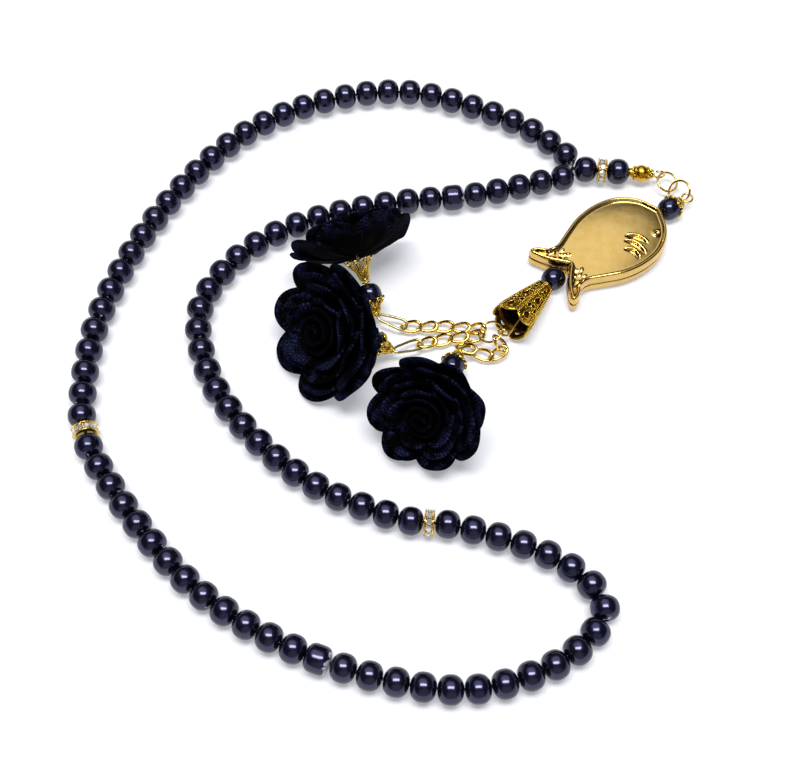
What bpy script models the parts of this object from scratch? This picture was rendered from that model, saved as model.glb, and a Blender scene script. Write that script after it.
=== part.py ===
"""Misbaha: a loop of ninety-nine pearl beads with a fish pendant and a tassel of three velvet roses.

It lies on a table, +Z up, with the middle of its footprint at the origin. Sizes are in millimetres.
"""
import math

import bmesh
import bpy
from mathutils import Matrix, Vector

MM = 0.001
UP = Vector((0, 0, 1))

# Beads and their cord
BEAD_DIAMETER = 7.86
BEAD_GIRTH = 9.4
BEAD_GAP = 0.04
BEAD_BORE = 1.7
BEAD_NECK = 2.4
CORD_DIAMETER = 0.8
CORD_SPREAD = 0.5
RUNS = 9
OPEN_AFTER = 5
BEAD_COUNT = 11
HINGE_GAP = 0.5
RUNNING_GAP = 0.3
TOUCHING_GAP = 0.15

# Rhinestone rondelles
RONDELLE_DIAMETER = 8.5
RONDELLE_WIDTH = 3.2
RONDELLE_FLANGE = 0.6
RONDELLE_BORE = 2.6
CRYSTALS = 10
CRYSTAL_RISE = 0.25

# Gold findings
BALL_DIAMETER = 5.4
BALL_BORE = 2.4
WIRE = 0.8
SHEET = 0.45
CAP_LOBES = 6
CAP_REACH = 2.2
SHORT_REACH = 0.6
EYE_RADIUS = 1.8
TAIL_RING_RADIUS = 3.6

# Fish pendant
FISH_THICKNESS = 7.9
FISH_ROUND = 0.8
FISH_BORE = 2.0
FISH_RECESS = 0.9
FISH_RIM = 0.84
FISH_ANGLE = 34.5
FISH_NOTCH = 6.5
FISH_NOSE = 46.3
FISH_HALF_WIDTH = 14.6

# Filigree cone
CONE_LENGTH = 21.2
TASSEL_EYE_HEIGHT = 5.6964
CONE_TIP = 2.7
CONE_MOUTH = 6.7
CONE_LOBES = 6
CONE_SCALLOP = 2.4
TASSEL_RING_RADIUS = 4.0

# Chains of oval links
LINK_LENGTH = 7.0
LINK_WIDTH = 5.0
LINK_WIRE = 0.9
LINK_BITE = 0.2
LINK_HOOK = 1.6
LINK_TILT = 42.0

# Velvet roses
PETAL_WALL = 1.2
PETAL_HOLE = 1.0
PETAL_CURVE = 3.0
ROSE_DEPTH = 10.0
LOOP_WIDTH = 4.0

# The loop of beads, from the junction along the back to the left, round the front and back inside
LOOP_ROUTE = [
    (60.2, 80), (49.2, 90.6), (35.2, 98.6), (4.7, 108.6), (-26.8, 104.2), (-53.7, 89.8), (-74.6, 66), (-90, 37.6),
    (-99, 7.8), (-99.6, -22.6), (-96.7, -33), (-79, -59.5), (-57, -82.7), (-30.2, -98.8), (0.7, -108.9),
    (23.6, -110.9), (46.4, -103.9), (58.4, -94.4), (62, -86.4), (58, -78.9), (44.6, -69.3), (15.2, -60.1),
    (4.9, -59.2), (-24.4, -47.6), (-47.6, -27.6), (-60.6, -7.4), (-64.7, 16.2), (-53.9, 36.1), (-34.9, 49.6),
    (-3.9, 58.6), (27.6, 62.6), (58.5, 70),
]

# Places on the table, as the pieces lie
JUNCTION = (66.9, 73.7)
TAIL_ANGLE = -5.0
TAIL_RING_ANGLE = -44.0
LINK_RING_LEAN = 43.0
FISH_TAIL_BEAD = (53.2, 28.6)
FISH_HEAD_GAP = 0.47
CONE_ANGLE = -129.0
CONE_RISE = 8.0
CONE_START = 4.8
TASSEL_RING_ANGLE = 166.0
TASSEL_RING_RISE = -20.0

# Each chain: where on the tassel ring it hangs, in degrees from the far side, and its route from the ring's middle
CHAINS = [
    {"hangs": 16, "links": 5, "route": [(-10.1, 3.15), (-21.1, 3.25), (-31.1, 3.15)]},
    {"hangs": -22, "links": 4, "route": [(-11.1, -0.75), (-19.1, -2.55), (-27.1, -4.35)]},
    {
        "hangs": -130,
        "links": 4,
        "route": [(5.3, -6.35), (4.3, -10.35), (0.5, -10.15), (-2.7, -6.15), (-8.1, -5.95), (-13.1, -6.95)],
    },
]

# Each rose: its bead from the ring's middle, its stem's direction and length, how it faces, its width and its calyx
ROSES = [
    {"bead": (-39.75, 11.55, 8.6), "stem": (112, 33), "reach": 13.2, "faces": (108, 20), "size": 40.5, "calyx": 7.4},
    {"bead": (-38.4, -5.9, 7.8), "stem": (168, 27), "reach": 9.8, "faces": (213, 37), "size": 44, "calyx": 2.6},
    {"bead": (-13.0, -14.4, 7.0), "stem": (248, 14), "reach": 16.6, "faces": (247, 36), "size": 37, "calyx": 10.0},
]

BEAD_RADIUS = BEAD_DIAMETER / 2
PITCH = BEAD_DIAMETER + BEAD_GAP
BEADS = RUNS * BEAD_COUNT
TABLE_HEIGHT = BEAD_RADIUS
STRING_HEIGHT = BEAD_GIRTH / 2


def clear_scene():
    """Remove what the file opened with."""
    for old in list(bpy.data.objects):
        bpy.data.objects.remove(old, do_unlink=True)


def new_collection(name):
    """A collection under the scene's own."""
    made = bpy.data.collections.new(name)
    bpy.context.scene.collection.children.link(made)
    return made


def new_material(name, colour, roughness, metallic):
    """A Principled material of one colour."""
    made = bpy.data.materials.new(name)
    made.use_nodes = True
    shader = made.node_tree.nodes["Principled BSDF"]
    shader.inputs["Base Color"].default_value = (*colour, 1)
    shader.inputs["Roughness"].default_value = roughness
    shader.inputs["Metallic"].default_value = metallic
    made.diffuse_color = (*colour, 1)
    return made


def heading(degrees, rise=0.0):
    """The unit vector at an angle on the table, lifted by rise degrees."""
    turn, lift = math.radians(degrees), math.radians(rise)
    level = Vector((math.cos(turn), math.sin(turn), 0))
    return level * math.cos(lift) + UP * math.sin(lift)


def on_table(place, height=None):
    """A point on the table plan, at a height."""
    return Vector((place[0], place[1], TABLE_HEIGHT if height is None else height))


def frame_along(origin, direction):
    """The frame at origin whose Z runs along direction, in metres."""
    turn = direction.to_track_quat("Z", "Y").to_matrix().to_4x4()
    return Matrix.Translation(origin * MM) @ turn


def frame_facing(origin, direction, towards):
    """The frame at origin with Z along direction and X as near to towards as it can be, in metres."""
    x = (towards - direction * towards.dot(direction)).normalized()
    turn = Matrix((x, direction.cross(x), direction)).transposed().to_4x4()
    return Matrix.Translation(origin * MM) @ turn


def smooth_path(points, steps=12):
    """Points on a centripetal curve through the given points."""
    ends = [points[0] * 2 - points[1]] + points + [points[-1] * 2 - points[-2]]
    path = []
    for a, b, c, d in zip(ends, ends[1:], ends[2:], ends[3:]):
        t0 = 0.0
        t1 = t0 + math.sqrt((b - a).length)
        t2 = t1 + math.sqrt((c - b).length)
        t3 = t2 + math.sqrt((d - c).length)
        for i in range(steps):
            t = t1 + (t2 - t1) * i / steps
            ab = a.lerp(b, (t - t0) / (t1 - t0))
            bc = b.lerp(c, (t - t1) / (t2 - t1))
            cd = c.lerp(d, (t - t2) / (t3 - t2))
            abc = ab.lerp(bc, (t - t0) / (t2 - t0))
            bcd = bc.lerp(cd, (t - t1) / (t3 - t1))
            path.append(abc.lerp(bcd, (t - t1) / (t2 - t1)))
    path.append(points[-1].copy())
    return path


def walk(path, spacings):
    """Points set off along a path, each at its own straight distance from the one before."""
    found = [path[0].copy()]
    index = 0
    for spacing in spacings:
        here = found[-1]
        while index < len(path) - 2 and (path[index + 1] - here).length < spacing:
            index += 1
        start, end = path[index], path[index + 1]
        low, high = (0.0, 1.0) if index < len(path) - 2 else (0.0, 40.0)
        for _ in range(40):
            middle = (low + high) / 2
            if (start.lerp(end, middle) - here).length < spacing:
                low = middle
            else:
                high = middle
        found.append(start.lerp(end, low))
    return found


def add_object(name, data, place, material):
    """A named sub-part in the object's collection."""
    made = bpy.data.objects.new(name, data)
    place.objects.link(made)
    made.data.materials.append(material)
    return made


def tube(name, points, radius, material, level=1, twist="MINIMUM", radii=None):
    """A round wire or cord along points, with filled ends."""
    curve = bpy.data.curves.new(name, "CURVE")
    curve.dimensions = "3D"
    curve.twist_mode = twist
    curve.bevel_depth = MM
    curve.bevel_resolution = level
    curve.use_fill_caps = True
    spline = curve.splines.new("POLY")
    spline.points.add(len(points) - 1)
    for i, point in enumerate(points):
        spline.points[i].co = (*(point * MM), 1)
        spline.points[i].radius = radii[i] if radii else radius
    return add_object(name, curve, PARTS, material)


def as_mesh(source):
    """Turn a curve object into a welded mesh object of the same name."""
    bpy.context.view_layer.update()
    graph = bpy.context.evaluated_depsgraph_get()
    mesh = bpy.data.meshes.new_from_object(source.evaluated_get(graph))
    name, matrix, home = source.name, source.matrix_world.copy(), source.users_collection[0]
    material = source.data.materials[0]
    bpy.data.objects.remove(source, do_unlink=True)
    shape = bmesh.new()
    shape.from_mesh(mesh)
    bmesh.ops.remove_doubles(shape, verts=shape.verts, dist=0.00001)
    bmesh.ops.recalc_face_normals(shape, faces=shape.faces)
    shape.to_mesh(mesh)
    shape.free()
    mesh.materials.clear()
    made = add_object(name, mesh, home, material)
    made.matrix_world = matrix
    return made


def boolean(target, other, operation):
    """Cut or join other into target, and keep other as a hidden guide."""
    PARTS.objects.unlink(other)
    GUIDES.objects.link(other)
    other.hide_render = True
    other.display_type = "WIRE"
    change = target.modifiers.new(operation.lower(), "BOOLEAN")
    change.operation = operation
    change.object = other


def turned(name, profile, frame, material, closed=True, steps=12):
    """A profile of (radius, height) points, listed down its outer side, turned round Z."""
    shape = bmesh.new()
    points = [shape.verts.new((r * MM, 0, z * MM)) for r, z in profile]
    pairs = list(zip(points, points[1:]))
    if closed:
        pairs.append((points[-1], points[0]))
    for a, b in pairs:
        shape.edges.new((a, b))
    mesh = bpy.data.meshes.new(name)
    shape.to_mesh(mesh)
    shape.free()
    made = add_object(name, mesh, PARTS, material)
    made.matrix_world = frame
    screw = made.modifiers.new("turn", "SCREW")
    screw.steps = screw.render_steps = steps
    screw.use_merge_vertices = True
    screw.merge_threshold = 0.00001
    screw.use_smooth_shade = True
    return made


def shell(name, rings, segments, frame, material, wall):
    """An open cup of rings of (radius, height) given for each segment, thickened outwards."""
    shape = bmesh.new()
    grid = []
    for ring in rings:
        row = []
        for j in range(segments):
            radius, height = ring(j)
            turn = 2 * math.pi * j / segments
            row.append(shape.verts.new((radius * math.cos(turn) * MM, radius * math.sin(turn) * MM, height * MM)))
        grid.append(row)
    for lower, upper in zip(grid, grid[1:]):
        for j in range(segments):
            k = (j + 1) % segments
            shape.faces.new((lower[j], lower[k], upper[k], upper[j]))
    mesh = bpy.data.meshes.new(name)
    shape.to_mesh(mesh)
    shape.free()
    mesh.shade_smooth()
    made = add_object(name, mesh, PARTS, material)
    made.matrix_world = frame
    skin = made.modifiers.new("wall", "SOLIDIFY")
    skin.thickness = wall * MM
    skin.offset = 1
    return made


def ball(name, centre, direction, radius, bore, material, girth=None, bands=6):
    """A drilled round bead on an axis, which may be stouter across than along."""
    across = girth / 2 if girth else radius
    top = math.asin(bore / 2 / across)
    angles = [top + (math.pi - 2 * top) * i / bands for i in range(bands + 1)]
    profile = [(across * math.sin(a), radius * math.cos(a)) for a in angles]
    return turned(name, profile, frame_along(centre, direction), material)


def cap_length(radius, reach=CAP_REACH):
    """How far a bead's cap reaches from the middle of the bead."""
    return (radius + RUNNING_GAP + 0.1) * 1.12 + reach


def bead_cap(name, centre, direction, radius, reach=CAP_REACH, hole=WIRE / 2 + RUNNING_GAP):
    """A lobed cup that sits over one end of a round bead."""
    lip = radius + RUNNING_GAP + 0.1
    rings = [
        lambda j: (lip * (0.8 if j % 2 else 0.74), lip * (0.64 if j % 2 else 0.78)),
        lambda j: (lip * 0.62, lip * 0.92),
        lambda j: (lip * 0.42, lip * 1.12),
        lambda j: (hole, cap_length(radius, reach)),
    ]
    return shell(name, rings, CAP_LOBES * 2, frame_along(centre, direction), GOLD, SHEET)


def calyx(name, centre, direction, start, length):
    """A bell that opens from a bead towards the back of a rose."""
    mouth = BEAD_RADIUS * 0.8
    neck = WIRE / 2 + RUNNING_GAP
    rings = [
        lambda j: (neck + 0.4, start),
        lambda j: (neck + 0.9, start + length * 0.45),
        lambda j: (mouth * 0.85, start + length * 0.8),
        lambda j: (mouth, start + length * (1.0 if j % 2 else 0.86)),
    ]
    return shell(name, rings, CAP_LOBES * 2, frame_along(centre, direction), GOLD, SHEET)


def wire_loop(name, centre, along, across, wire, segments=16, sides=6):
    """A closed oval of wire whose half sizes are the lengths of along and across."""
    shape = bmesh.new()
    normal = along.cross(across).normalized()
    grid = []
    for i in range(segments):
        turn = 2 * math.pi * i / segments
        point = centre + along * math.cos(turn) + across * math.sin(turn)
        out = (across * math.cos(turn) - along * math.sin(turn)).cross(normal).normalized()
        row = []
        for k in range(sides):
            bend = 2 * math.pi * k / sides
            row.append(shape.verts.new((point + (out * math.cos(bend) + normal * math.sin(bend)) * wire / 2) * MM))
        grid.append(row)
    for i in range(segments):
        row, after = grid[i], grid[(i + 1) % segments]
        for k in range(sides):
            shape.faces.new((row[k], after[k], after[(k + 1) % sides], row[(k + 1) % sides]))
    bmesh.ops.recalc_face_normals(shape, faces=shape.faces)
    mesh = bpy.data.meshes.new(name)
    shape.to_mesh(mesh)
    shape.free()
    mesh.shade_smooth()
    return add_object(name, mesh, PARTS, GOLD)


def ring(name, centre, normal, radius, wire):
    """A round wire ring."""
    along = normal.orthogonal().normalized() * radius
    return wire_loop(name, centre, along, normal.cross(along), wire)


def eye(centre, out, side, radius, steps=11):
    """Points round an open wire eye that starts and ends on its inner side."""
    turns = [math.pi + 2 * math.pi * 0.86 * i / steps for i in range(steps + 1)]
    return [centre + out * (radius * math.cos(a)) + side * (radius * math.sin(a)) for a in turns]


def bead_run(name, run, before, after):
    """Beads strung side by side, joined at their necks and drilled through on the cord's line."""
    bore = [before] + run + [after]
    points, radii = [], []
    shoulder = math.sqrt(0.5)
    for i, centre in enumerate(run):
        before = run[i - 1] if i else centre * 2 - run[i + 1]
        after = run[i + 1] if i + 1 < len(run) else centre * 2 - before
        along = (after - before).normalized()
        if i == 0:
            points.append(centre - along * (PITCH - HINGE_GAP) / 2)
            radii.append(BEAD_NECK / 2)
        for offset, size in ((-shoulder, shoulder), (0, 1), (shoulder, shoulder)):
            points.append(centre + along * offset * BEAD_RADIUS)
            radii.append(size * BEAD_GIRTH / 2)
        last = i + 1 == len(run)
        points.append(centre + along * (PITCH - HINGE_GAP) / 2 if last else (centre + after) / 2)
        radii.append(BEAD_NECK / 2)
    made = as_mesh(tube(name, points, 1, PEARL, level=2, twist="Z_UP", radii=radii))
    boolean(made, as_mesh(tube(name + "_bore", bore, BEAD_BORE / 2, PEARL, level=0, twist="Z_UP")), "DIFFERENCE")
    return made


def rondelle(name, centre, along):
    """A gold spool with a ring of crystals set in its groove."""
    outer, bore = RONDELLE_DIAMETER / 2, RONDELLE_BORE / 2
    half = RONDELLE_WIDTH / 2
    groove = half - RONDELLE_FLANGE
    floor = bore + SHEET
    profile = [
        (bore, half), (outer, half), (outer, groove), (floor, groove),
        (floor, -groove), (outer, -groove), (outer, -half), (bore, -half),
    ]
    frame = frame_along(centre, along)
    made = turned(name + "_frame", profile, frame, GOLD, steps=16)
    curve = bpy.data.curves.new(name + "_crystals", "CURVE")
    curve.dimensions = "2D"
    curve.fill_mode = "BOTH"
    curve.extrude = (groove - RUNNING_GAP / 2) * MM
    for radius, rise, count in ((outer - CRYSTAL_RISE, CRYSTAL_RISE, CRYSTALS * 2), (floor + RUNNING_GAP, 0, 16)):
        spline = curve.splines.new("POLY")
        spline.points.add(count - 1)
        spline.use_cyclic_u = True
        for i in range(count):
            turn = 2 * math.pi * i / count
            reach = (radius + rise * math.cos(CRYSTALS * turn)) * MM
            spline.points[i].co = (reach * math.cos(turn), reach * math.sin(turn), 0, 1)
    stones = add_object(name + "_crystals", curve, PARTS, CRYSTAL)
    stones.matrix_world = frame
    return [made, as_mesh(stones)]


def flat_outline(name, points, thickness, rounding, material):
    """A closed outline on the XY plane, filled and thickened about it."""
    curve = bpy.data.curves.new(name, "CURVE")
    curve.dimensions = "2D"
    curve.fill_mode = "BOTH"
    curve.extrude = (thickness / 2 - rounding) * MM
    curve.bevel_depth = rounding * MM
    curve.bevel_resolution = 0
    curve.offset = -rounding * MM
    spline = curve.splines.new("POLY")
    spline.points.add(len(points) - 1)
    spline.use_cyclic_u = True
    for i, (x, y) in enumerate(points):
        spline.points[i].co = (x * MM, y * MM, 0, 1)
    return add_object(name, curve, PARTS, material)


def fish_outline():
    """The fish from its tail notch round to its nose and back, in its own axes from the tail bead."""
    inner = smooth_path([Vector(p) for p in ((FISH_NOTCH, 0), (3.0, 3.4), (-0.6, 6.4), (-2.6, 11.4))], 2)
    back = [Vector(p) for p in ((-2.6, 11.4), (2.0, 9.4), (7.4, 8.8))]
    body = ((0.281, 0.753), (0.432, 0.938), (0.605, 1.0), (0.778, 0.89), (0.918, 0.548), (1.0, 0.0))
    back += [Vector((along * FISH_NOSE, across * FISH_HALF_WIDTH)) for along, across in body]
    outer = smooth_path(back, 2)
    half = inner[:-1] + outer
    return [(p.x, p.y) for p in half] + [(p.x, -p.y) for p in half[-2:0:-1]]


def fish(name, frame):
    """A thick flat fish with a sunk face inside a rim, three fins and a bore from nose to tail."""
    made = flat_outline(name, fish_outline(), FISH_THICKNESS, FISH_ROUND, GOLD)
    made.matrix_world = frame
    made = as_mesh(made)
    middle = (FISH_NOTCH + FISH_NOSE) / 2 + 1.5
    long_half = (FISH_NOSE - FISH_NOTCH) / 2 * FISH_RIM
    wide_half = FISH_HALF_WIDTH * FISH_RIM
    face = []
    for i in range(24):
        turn = 2 * math.pi * i / 24
        taper = 1 - 0.22 * max(0.0, -math.cos(turn))
        face.append((middle + long_half * math.cos(turn), wide_half * taper * math.sin(turn)))
    sunk = flat_outline(name + "_recess", face, 2 * FISH_RECESS, 0, GOLD)
    sunk.matrix_world = frame @ Matrix.Translation((0, 0, FISH_THICKNESS / 2 * MM))
    boolean(made, as_mesh(sunk), "DIFFERENCE")
    for i, (x, y) in enumerate(((35.0, -1.6), (33.6, -4.6), (32.6, -7.6))):
        leaf = [(x + 3.6 * math.cos(t), y + 0.9 * math.sin(t)) for t in (2 * math.pi * k / 8 for k in range(8))]
        fin = flat_outline(f"{name}_fin_{i + 1}", leaf, 2 * FISH_RECESS, 0, GOLD)
        floor = FISH_THICKNESS / 2 - FISH_RECESS
        fin.matrix_world = frame @ Matrix.Translation((0, 0, floor * MM))
        boolean(made, as_mesh(fin), "UNION")
    drill = [frame @ Vector((x * MM, 0, 0)) / MM for x in (0, FISH_NOSE + 2)]
    boolean(made, as_mesh(tube(name + "_bore", drill, FISH_BORE / 2, GOLD, level=2)), "DIFFERENCE")
    return made


def cone(name, frame):
    """A hollow lobed cone that opens away from the fish."""
    def height(j):
        return CONE_LENGTH - (CONE_SCALLOP if j % 4 == 0 else 0.8 if j % 2 else 0)

    rings = [
        lambda j: (WIRE / 2 + RUNNING_GAP, 0),
        lambda j: (CONE_TIP, 1.0),
        lambda j: (CONE_TIP + (CONE_MOUTH - CONE_TIP) * 0.5, CONE_LENGTH * 0.45),
        lambda j: (CONE_MOUTH * 0.92, CONE_LENGTH * 0.78),
        lambda j: (CONE_MOUTH, height(j)),
    ]
    made = shell(name, rings, CONE_LOBES * 4, frame, GOLD, SHEET)
    for i in range(CONE_LOBES):
        turn = Matrix.Rotation(2 * math.pi * (i + 0.53) / CONE_LOBES, 4, "Z")
        leaf = [(1.3 * math.cos(t), 3.4 * math.sin(t)) for t in (2 * math.pi * k / 8 for k in range(8))]
        window = flat_outline(f"{name}_window_{i + 1}", leaf, CONE_MOUTH, 0, GOLD)
        out = Matrix.Translation((CONE_MOUTH * MM, 0, CONE_LENGTH * 0.6 * MM)) @ Matrix.Rotation(math.pi / 2, 4, "Y")
        window.matrix_world = frame @ turn @ out @ Matrix.Rotation(math.pi / 2, 4, "Z")
        boolean(made, as_mesh(window), "DIFFERENCE")
    return made


def link(name, centre, along, tilt):
    """One oval link whose long side runs along the chain, leaning over by tilt degrees."""
    side = UP.cross(along).normalized()
    lean = math.radians(tilt)
    across = side * math.cos(lean) + along.cross(side).normalized() * math.sin(lean)
    reach, half = (LINK_LENGTH - LINK_WIRE) / 2, (LINK_WIDTH - LINK_WIRE) / 2
    return wire_loop(name, centre, along * reach, across * half, LINK_WIRE, segments=12)


def chain(name, catch, route, count):
    """Oval links in a row from a ring along a route, each bedded against the next, as one body."""
    reach = LINK_LENGTH - LINK_WIRE
    level = on_table(catch, 0)
    first = (on_table(route[0], 0) - level).normalized()
    path = smooth_path([level - first * LINK_HOOK] + [on_table(p, 0) for p in route])
    hooks = walk(path, [reach - LINK_WIRE + LINK_BITE] * count)
    links = []
    for i, (start, after) in enumerate(zip(hooks, hooks[1:])):
        along = (after - start).normalized()
        tilt = 88 if i in (0, count - 1) else LINK_TILT if i % 2 else -LINK_TILT
        rise = math.sin(math.radians(abs(tilt))) * (LINK_WIDTH - LINK_WIRE) / 2 + LINK_WIRE / 2
        if i == 0:
            along = (after - start + UP * (2.3 - catch.z)).normalized()
            rise = catch.z + 0.5
        centre = start + along * reach / 2 + UP * (rise + 0.05)
        links.append(link(f"{name}_link_{i + 1}", centre, along, tilt))
    for other in links[1:]:
        boolean(links[0], other, "UNION")
    links[0].name = name
    end = centre + along * (reach / 2 - LINK_WIRE / 2 - WIRE / 2 - 2 * RUNNING_GAP)
    return links[0], end


def petal_layer(name, frame, radius, hub, rim, lobes, turn):
    """One stamped layer of cloth: rounded petals round a dished middle."""
    waves = (0.88, 1.0, 1.0)
    segments = lobes * len(waves)
    shares = (0.5, 0.82, 1.0)
    rings = [lambda j: (PETAL_HOLE, hub)]
    for share in shares:
        rings.append(
            lambda j, share=share: (
                radius * share * (waves[j % len(waves)] if share == 1.0 else 1),
                hub + (rim - hub) * share ** PETAL_CURVE,
            )
        )
    spin = Matrix.Rotation(math.radians(turn), 4, "Z")
    return shell(name, rings, segments, frame @ spin, VELVET, PETAL_WALL)


def rose(index, place, bead, hook):
    """A rose of nested petal layers on a bent wire pin, with a pearl bead between gold caps."""
    label = f"rose_{index}"
    stem, faces = heading(*place["stem"]), heading(*place["faces"])
    bend = bead + stem * place["reach"]
    back = bend + faces * (PETAL_WALL + 0.2)
    frame = frame_along(back, faces)
    radius = place["size"] / 2
    step = PETAL_WALL + RUNNING_GAP
    pieces = [
        petal_layer(label + "_outer_petals", frame, radius, 0, ROSE_DEPTH, 8, 0),
        petal_layer(label + "_middle_petals", frame, radius * 0.86, step, ROSE_DEPTH + 2.6, 7, 20),
        petal_layer(label + "_inner_petals", frame, radius * 0.6, step * 2, ROSE_DEPTH + 4.6, 6, 40),
    ]
    seat, top = step * 3, ROSE_DEPTH + 5.6
    bulb = radius * 0.3
    bore = WIRE / 2 + RUNNING_GAP
    profile = [
        (0, top), (bulb * 0.5, top - 0.4), (bulb * 0.9, top - 1.8), (bulb, (top + seat) / 2),
        (bulb * 0.6, seat + 1.0), (bore, seat), (bore, seat + 3.0), (0, seat + 3.0),
    ]
    pieces.append(turned(label + "_heart", profile, frame, VELVET, closed=False))
    cap_end = bead - stem * (cap_length(BEAD_RADIUS) + 0.2)
    pieces.append(bead_cap(label + "_cap", bead, -stem, BEAD_RADIUS))
    pieces.append(calyx(label + "_calyx", bead, stem, BEAD_RADIUS + RUNNING_GAP, place["calyx"]))
    reach = hook - cap_end
    side = UP.cross(reach).normalized() * (LOOP_WIDTH / 2)
    close = 1.8 / reach.length
    loop = [(0.4, 0.6), (0.75, 1), (0.92, 0.95), (1, 0.4), (1, -0.4), (0.92, -0.95), (0.75, -1), (close, -0.8)]
    wire = [back + faces * (seat + 2.4), bend, bead, cap_end]
    wire += [cap_end + reach * along + side * across for along, across in loop]
    pieces.append(tube(label + "_pin", wire, WIRE / 2, GOLD))
    return pieces, ball(label + "_bead", bead, stem, BEAD_RADIUS, BEAD_BORE, PEARL)


def hang(name, pivot, pieces):
    """Parent a body's pieces to an empty on its joint, without moving them."""
    joint = bpy.data.objects.new("pivot_" + name, None)
    joint.empty_display_size = 3 * MM
    joint.location = pivot * MM
    PARTS.objects.link(joint)
    bpy.context.view_layer.update()
    for piece in pieces:
        piece.parent = joint
        piece.matrix_parent_inverse = joint.matrix_world.inverted()


clear_scene()
PARTS = new_collection("misbaha")
GUIDES = new_collection("guides")
PEARL = new_material("pearl_coat", (0.022, 0.022, 0.06), 0.28, 0.35)
GOLD = new_material("gold_plate", (0.80, 0.52, 0.14), 0.2, 1.0)
CRYSTAL = new_material("crystal_glass", (0.85, 0.86, 0.9), 0.05, 0.0)
VELVET = new_material("velvet", (0.006, 0.007, 0.018), 0.9, 0.0)
CORD = new_material("nylon_cord", (0.01, 0.01, 0.02), 0.6, 0.0)

# The tail: two beads and a rondelle on the doubled cord, then a gold ball between caps
tail = heading(TAIL_ANGLE)
junction = on_table(JUNCTION, STRING_HEIGHT)
spacing = BEAD_RADIUS + RONDELLE_WIDTH / 2 + TOUCHING_GAP
tail_rondelle = junction + tail * spacing
second_bead = tail_rondelle + tail * spacing
ball_radius = BALL_DIAMETER / 2
ball_reach = cap_length(ball_radius, SHORT_REACH)
ball_centre = second_bead + tail * (BEAD_RADIUS + ball_reach + TOUCHING_GAP)
tail_end = ball_centre + tail * ball_reach
doubled_bore = 2 * (CORD_SPREAD + CORD_DIAMETER / 2 + RUNNING_GAP)

# The loop is stretched about the junction until the string of beads just fills it
spacings = []
for number in range(1, BEADS):
    spacings.append(PITCH if number % (3 * BEAD_COUNT) else 2 * spacing)
stretch = 1.0
for _ in range(6):
    path = smooth_path([junction + (on_table(p, STRING_HEIGHT) - junction) * stretch for p in LOOP_ROUTE])
    centres = walk(path, spacings)
    spare = (path[-1] - centres[-1]).dot((path[-1] - path[-2]).normalized())
    stretch *= 1 - spare / sum(spacings)
runs = [centres[i * BEAD_COUNT:(i + 1) * BEAD_COUNT] for i in range(RUNS)]

# Beads and spacers that turn on the tail
hang("gold_ball", ball_centre, [ball("gold_ball", ball_centre, tail, ball_radius, doubled_bore, GOLD)])
for name, place in (("junction_bead", junction), ("tail_bead", second_bead)):
    hang(name, place, [ball(name, place, tail, BEAD_RADIUS, doubled_bore, PEARL, BEAD_GIRTH)])
hang("tail_rondelle", tail_rondelle, rondelle("tail_rondelle", tail_rondelle, tail))

# The cord goes out through the tail, round the loop and back beside itself
lift = UP * CORD_SPREAD
tail_line = [tail_end - tail * 1.5, second_bead, junction, junction - tail * (BEAD_RADIUS + 0.9)]
loop_line = [point for run in runs for point in run]
for end, start in ((0, 1), (-1, -2)):
    mouth = loop_line[end] + (loop_line[end] - loop_line[start]).normalized() * (BEAD_RADIUS + 0.2)
    loop_line.insert(0 if end == 0 else len(loop_line), mouth)
cord_points = [p + lift for p in tail_line] + loop_line + [p - lift for p in reversed(tail_line)]

# Runs of beads, each on a pivot at its end nearer the junction, with a rondelle after each third
knots = [(junction + runs[0][0]) / 2]
knots += [(before[-1] + after[0]) / 2 for before, after in zip(runs, runs[1:])]
knots.append((runs[-1][-1] + junction) / 2)
for number, run in enumerate(runs, 1):
    first = 1 + (number - 1) * BEAD_COUNT
    ends = loop_line[first - 1], loop_line[first + BEAD_COUNT]
    pivot = knots[number - 1] if number <= OPEN_AFTER else knots[number]
    hang(f"bead_run_{number}", pivot, [bead_run(f"bead_run_{number}", run, *ends)])
for name, number in (("side_rondelle", 3), ("front_rondelle", 6)):
    along = (runs[number][0] - runs[number - 1][-1]).normalized()
    hang(name, knots[number], rondelle(name, knots[number], along))

# The tail's caps and wire eye
eye_centre = tail_end + tail * (EYE_RADIUS + 0.4)
lead = [tail_end - tail * 0.7, tail_end]
hang("tail", ball_centre, [
    tube("stringing_cord", cord_points, CORD_DIAMETER / 2, CORD, level=0, twist="Z_UP"),
    bead_cap("ball_cap_near", ball_centre, -tail, ball_radius, SHORT_REACH, doubled_bore / 2),
    bead_cap("ball_cap_far", ball_centre, tail, ball_radius, SHORT_REACH, doubled_bore / 2),
    tube("tail_eye", lead + eye(eye_centre, tail, UP, EYE_RADIUS), WIRE / 2, GOLD),
])

# The jump ring on the eye and the link ring that joins it to the fish's pin
catch = EYE_RADIUS - WIRE - 2 * RUNNING_GAP
tail_catch = eye_centre + tail * catch
ring_out = heading(TAIL_RING_ANGLE, -18)
ring_centre = tail_catch + ring_out * TAIL_RING_RADIUS
ring_normal = UP - ring_out * UP.dot(ring_out)
hang("tail_ring", tail_catch, [ring("tail_ring", ring_centre, ring_normal.normalized(), TAIL_RING_RADIUS, WIRE)])

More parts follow.
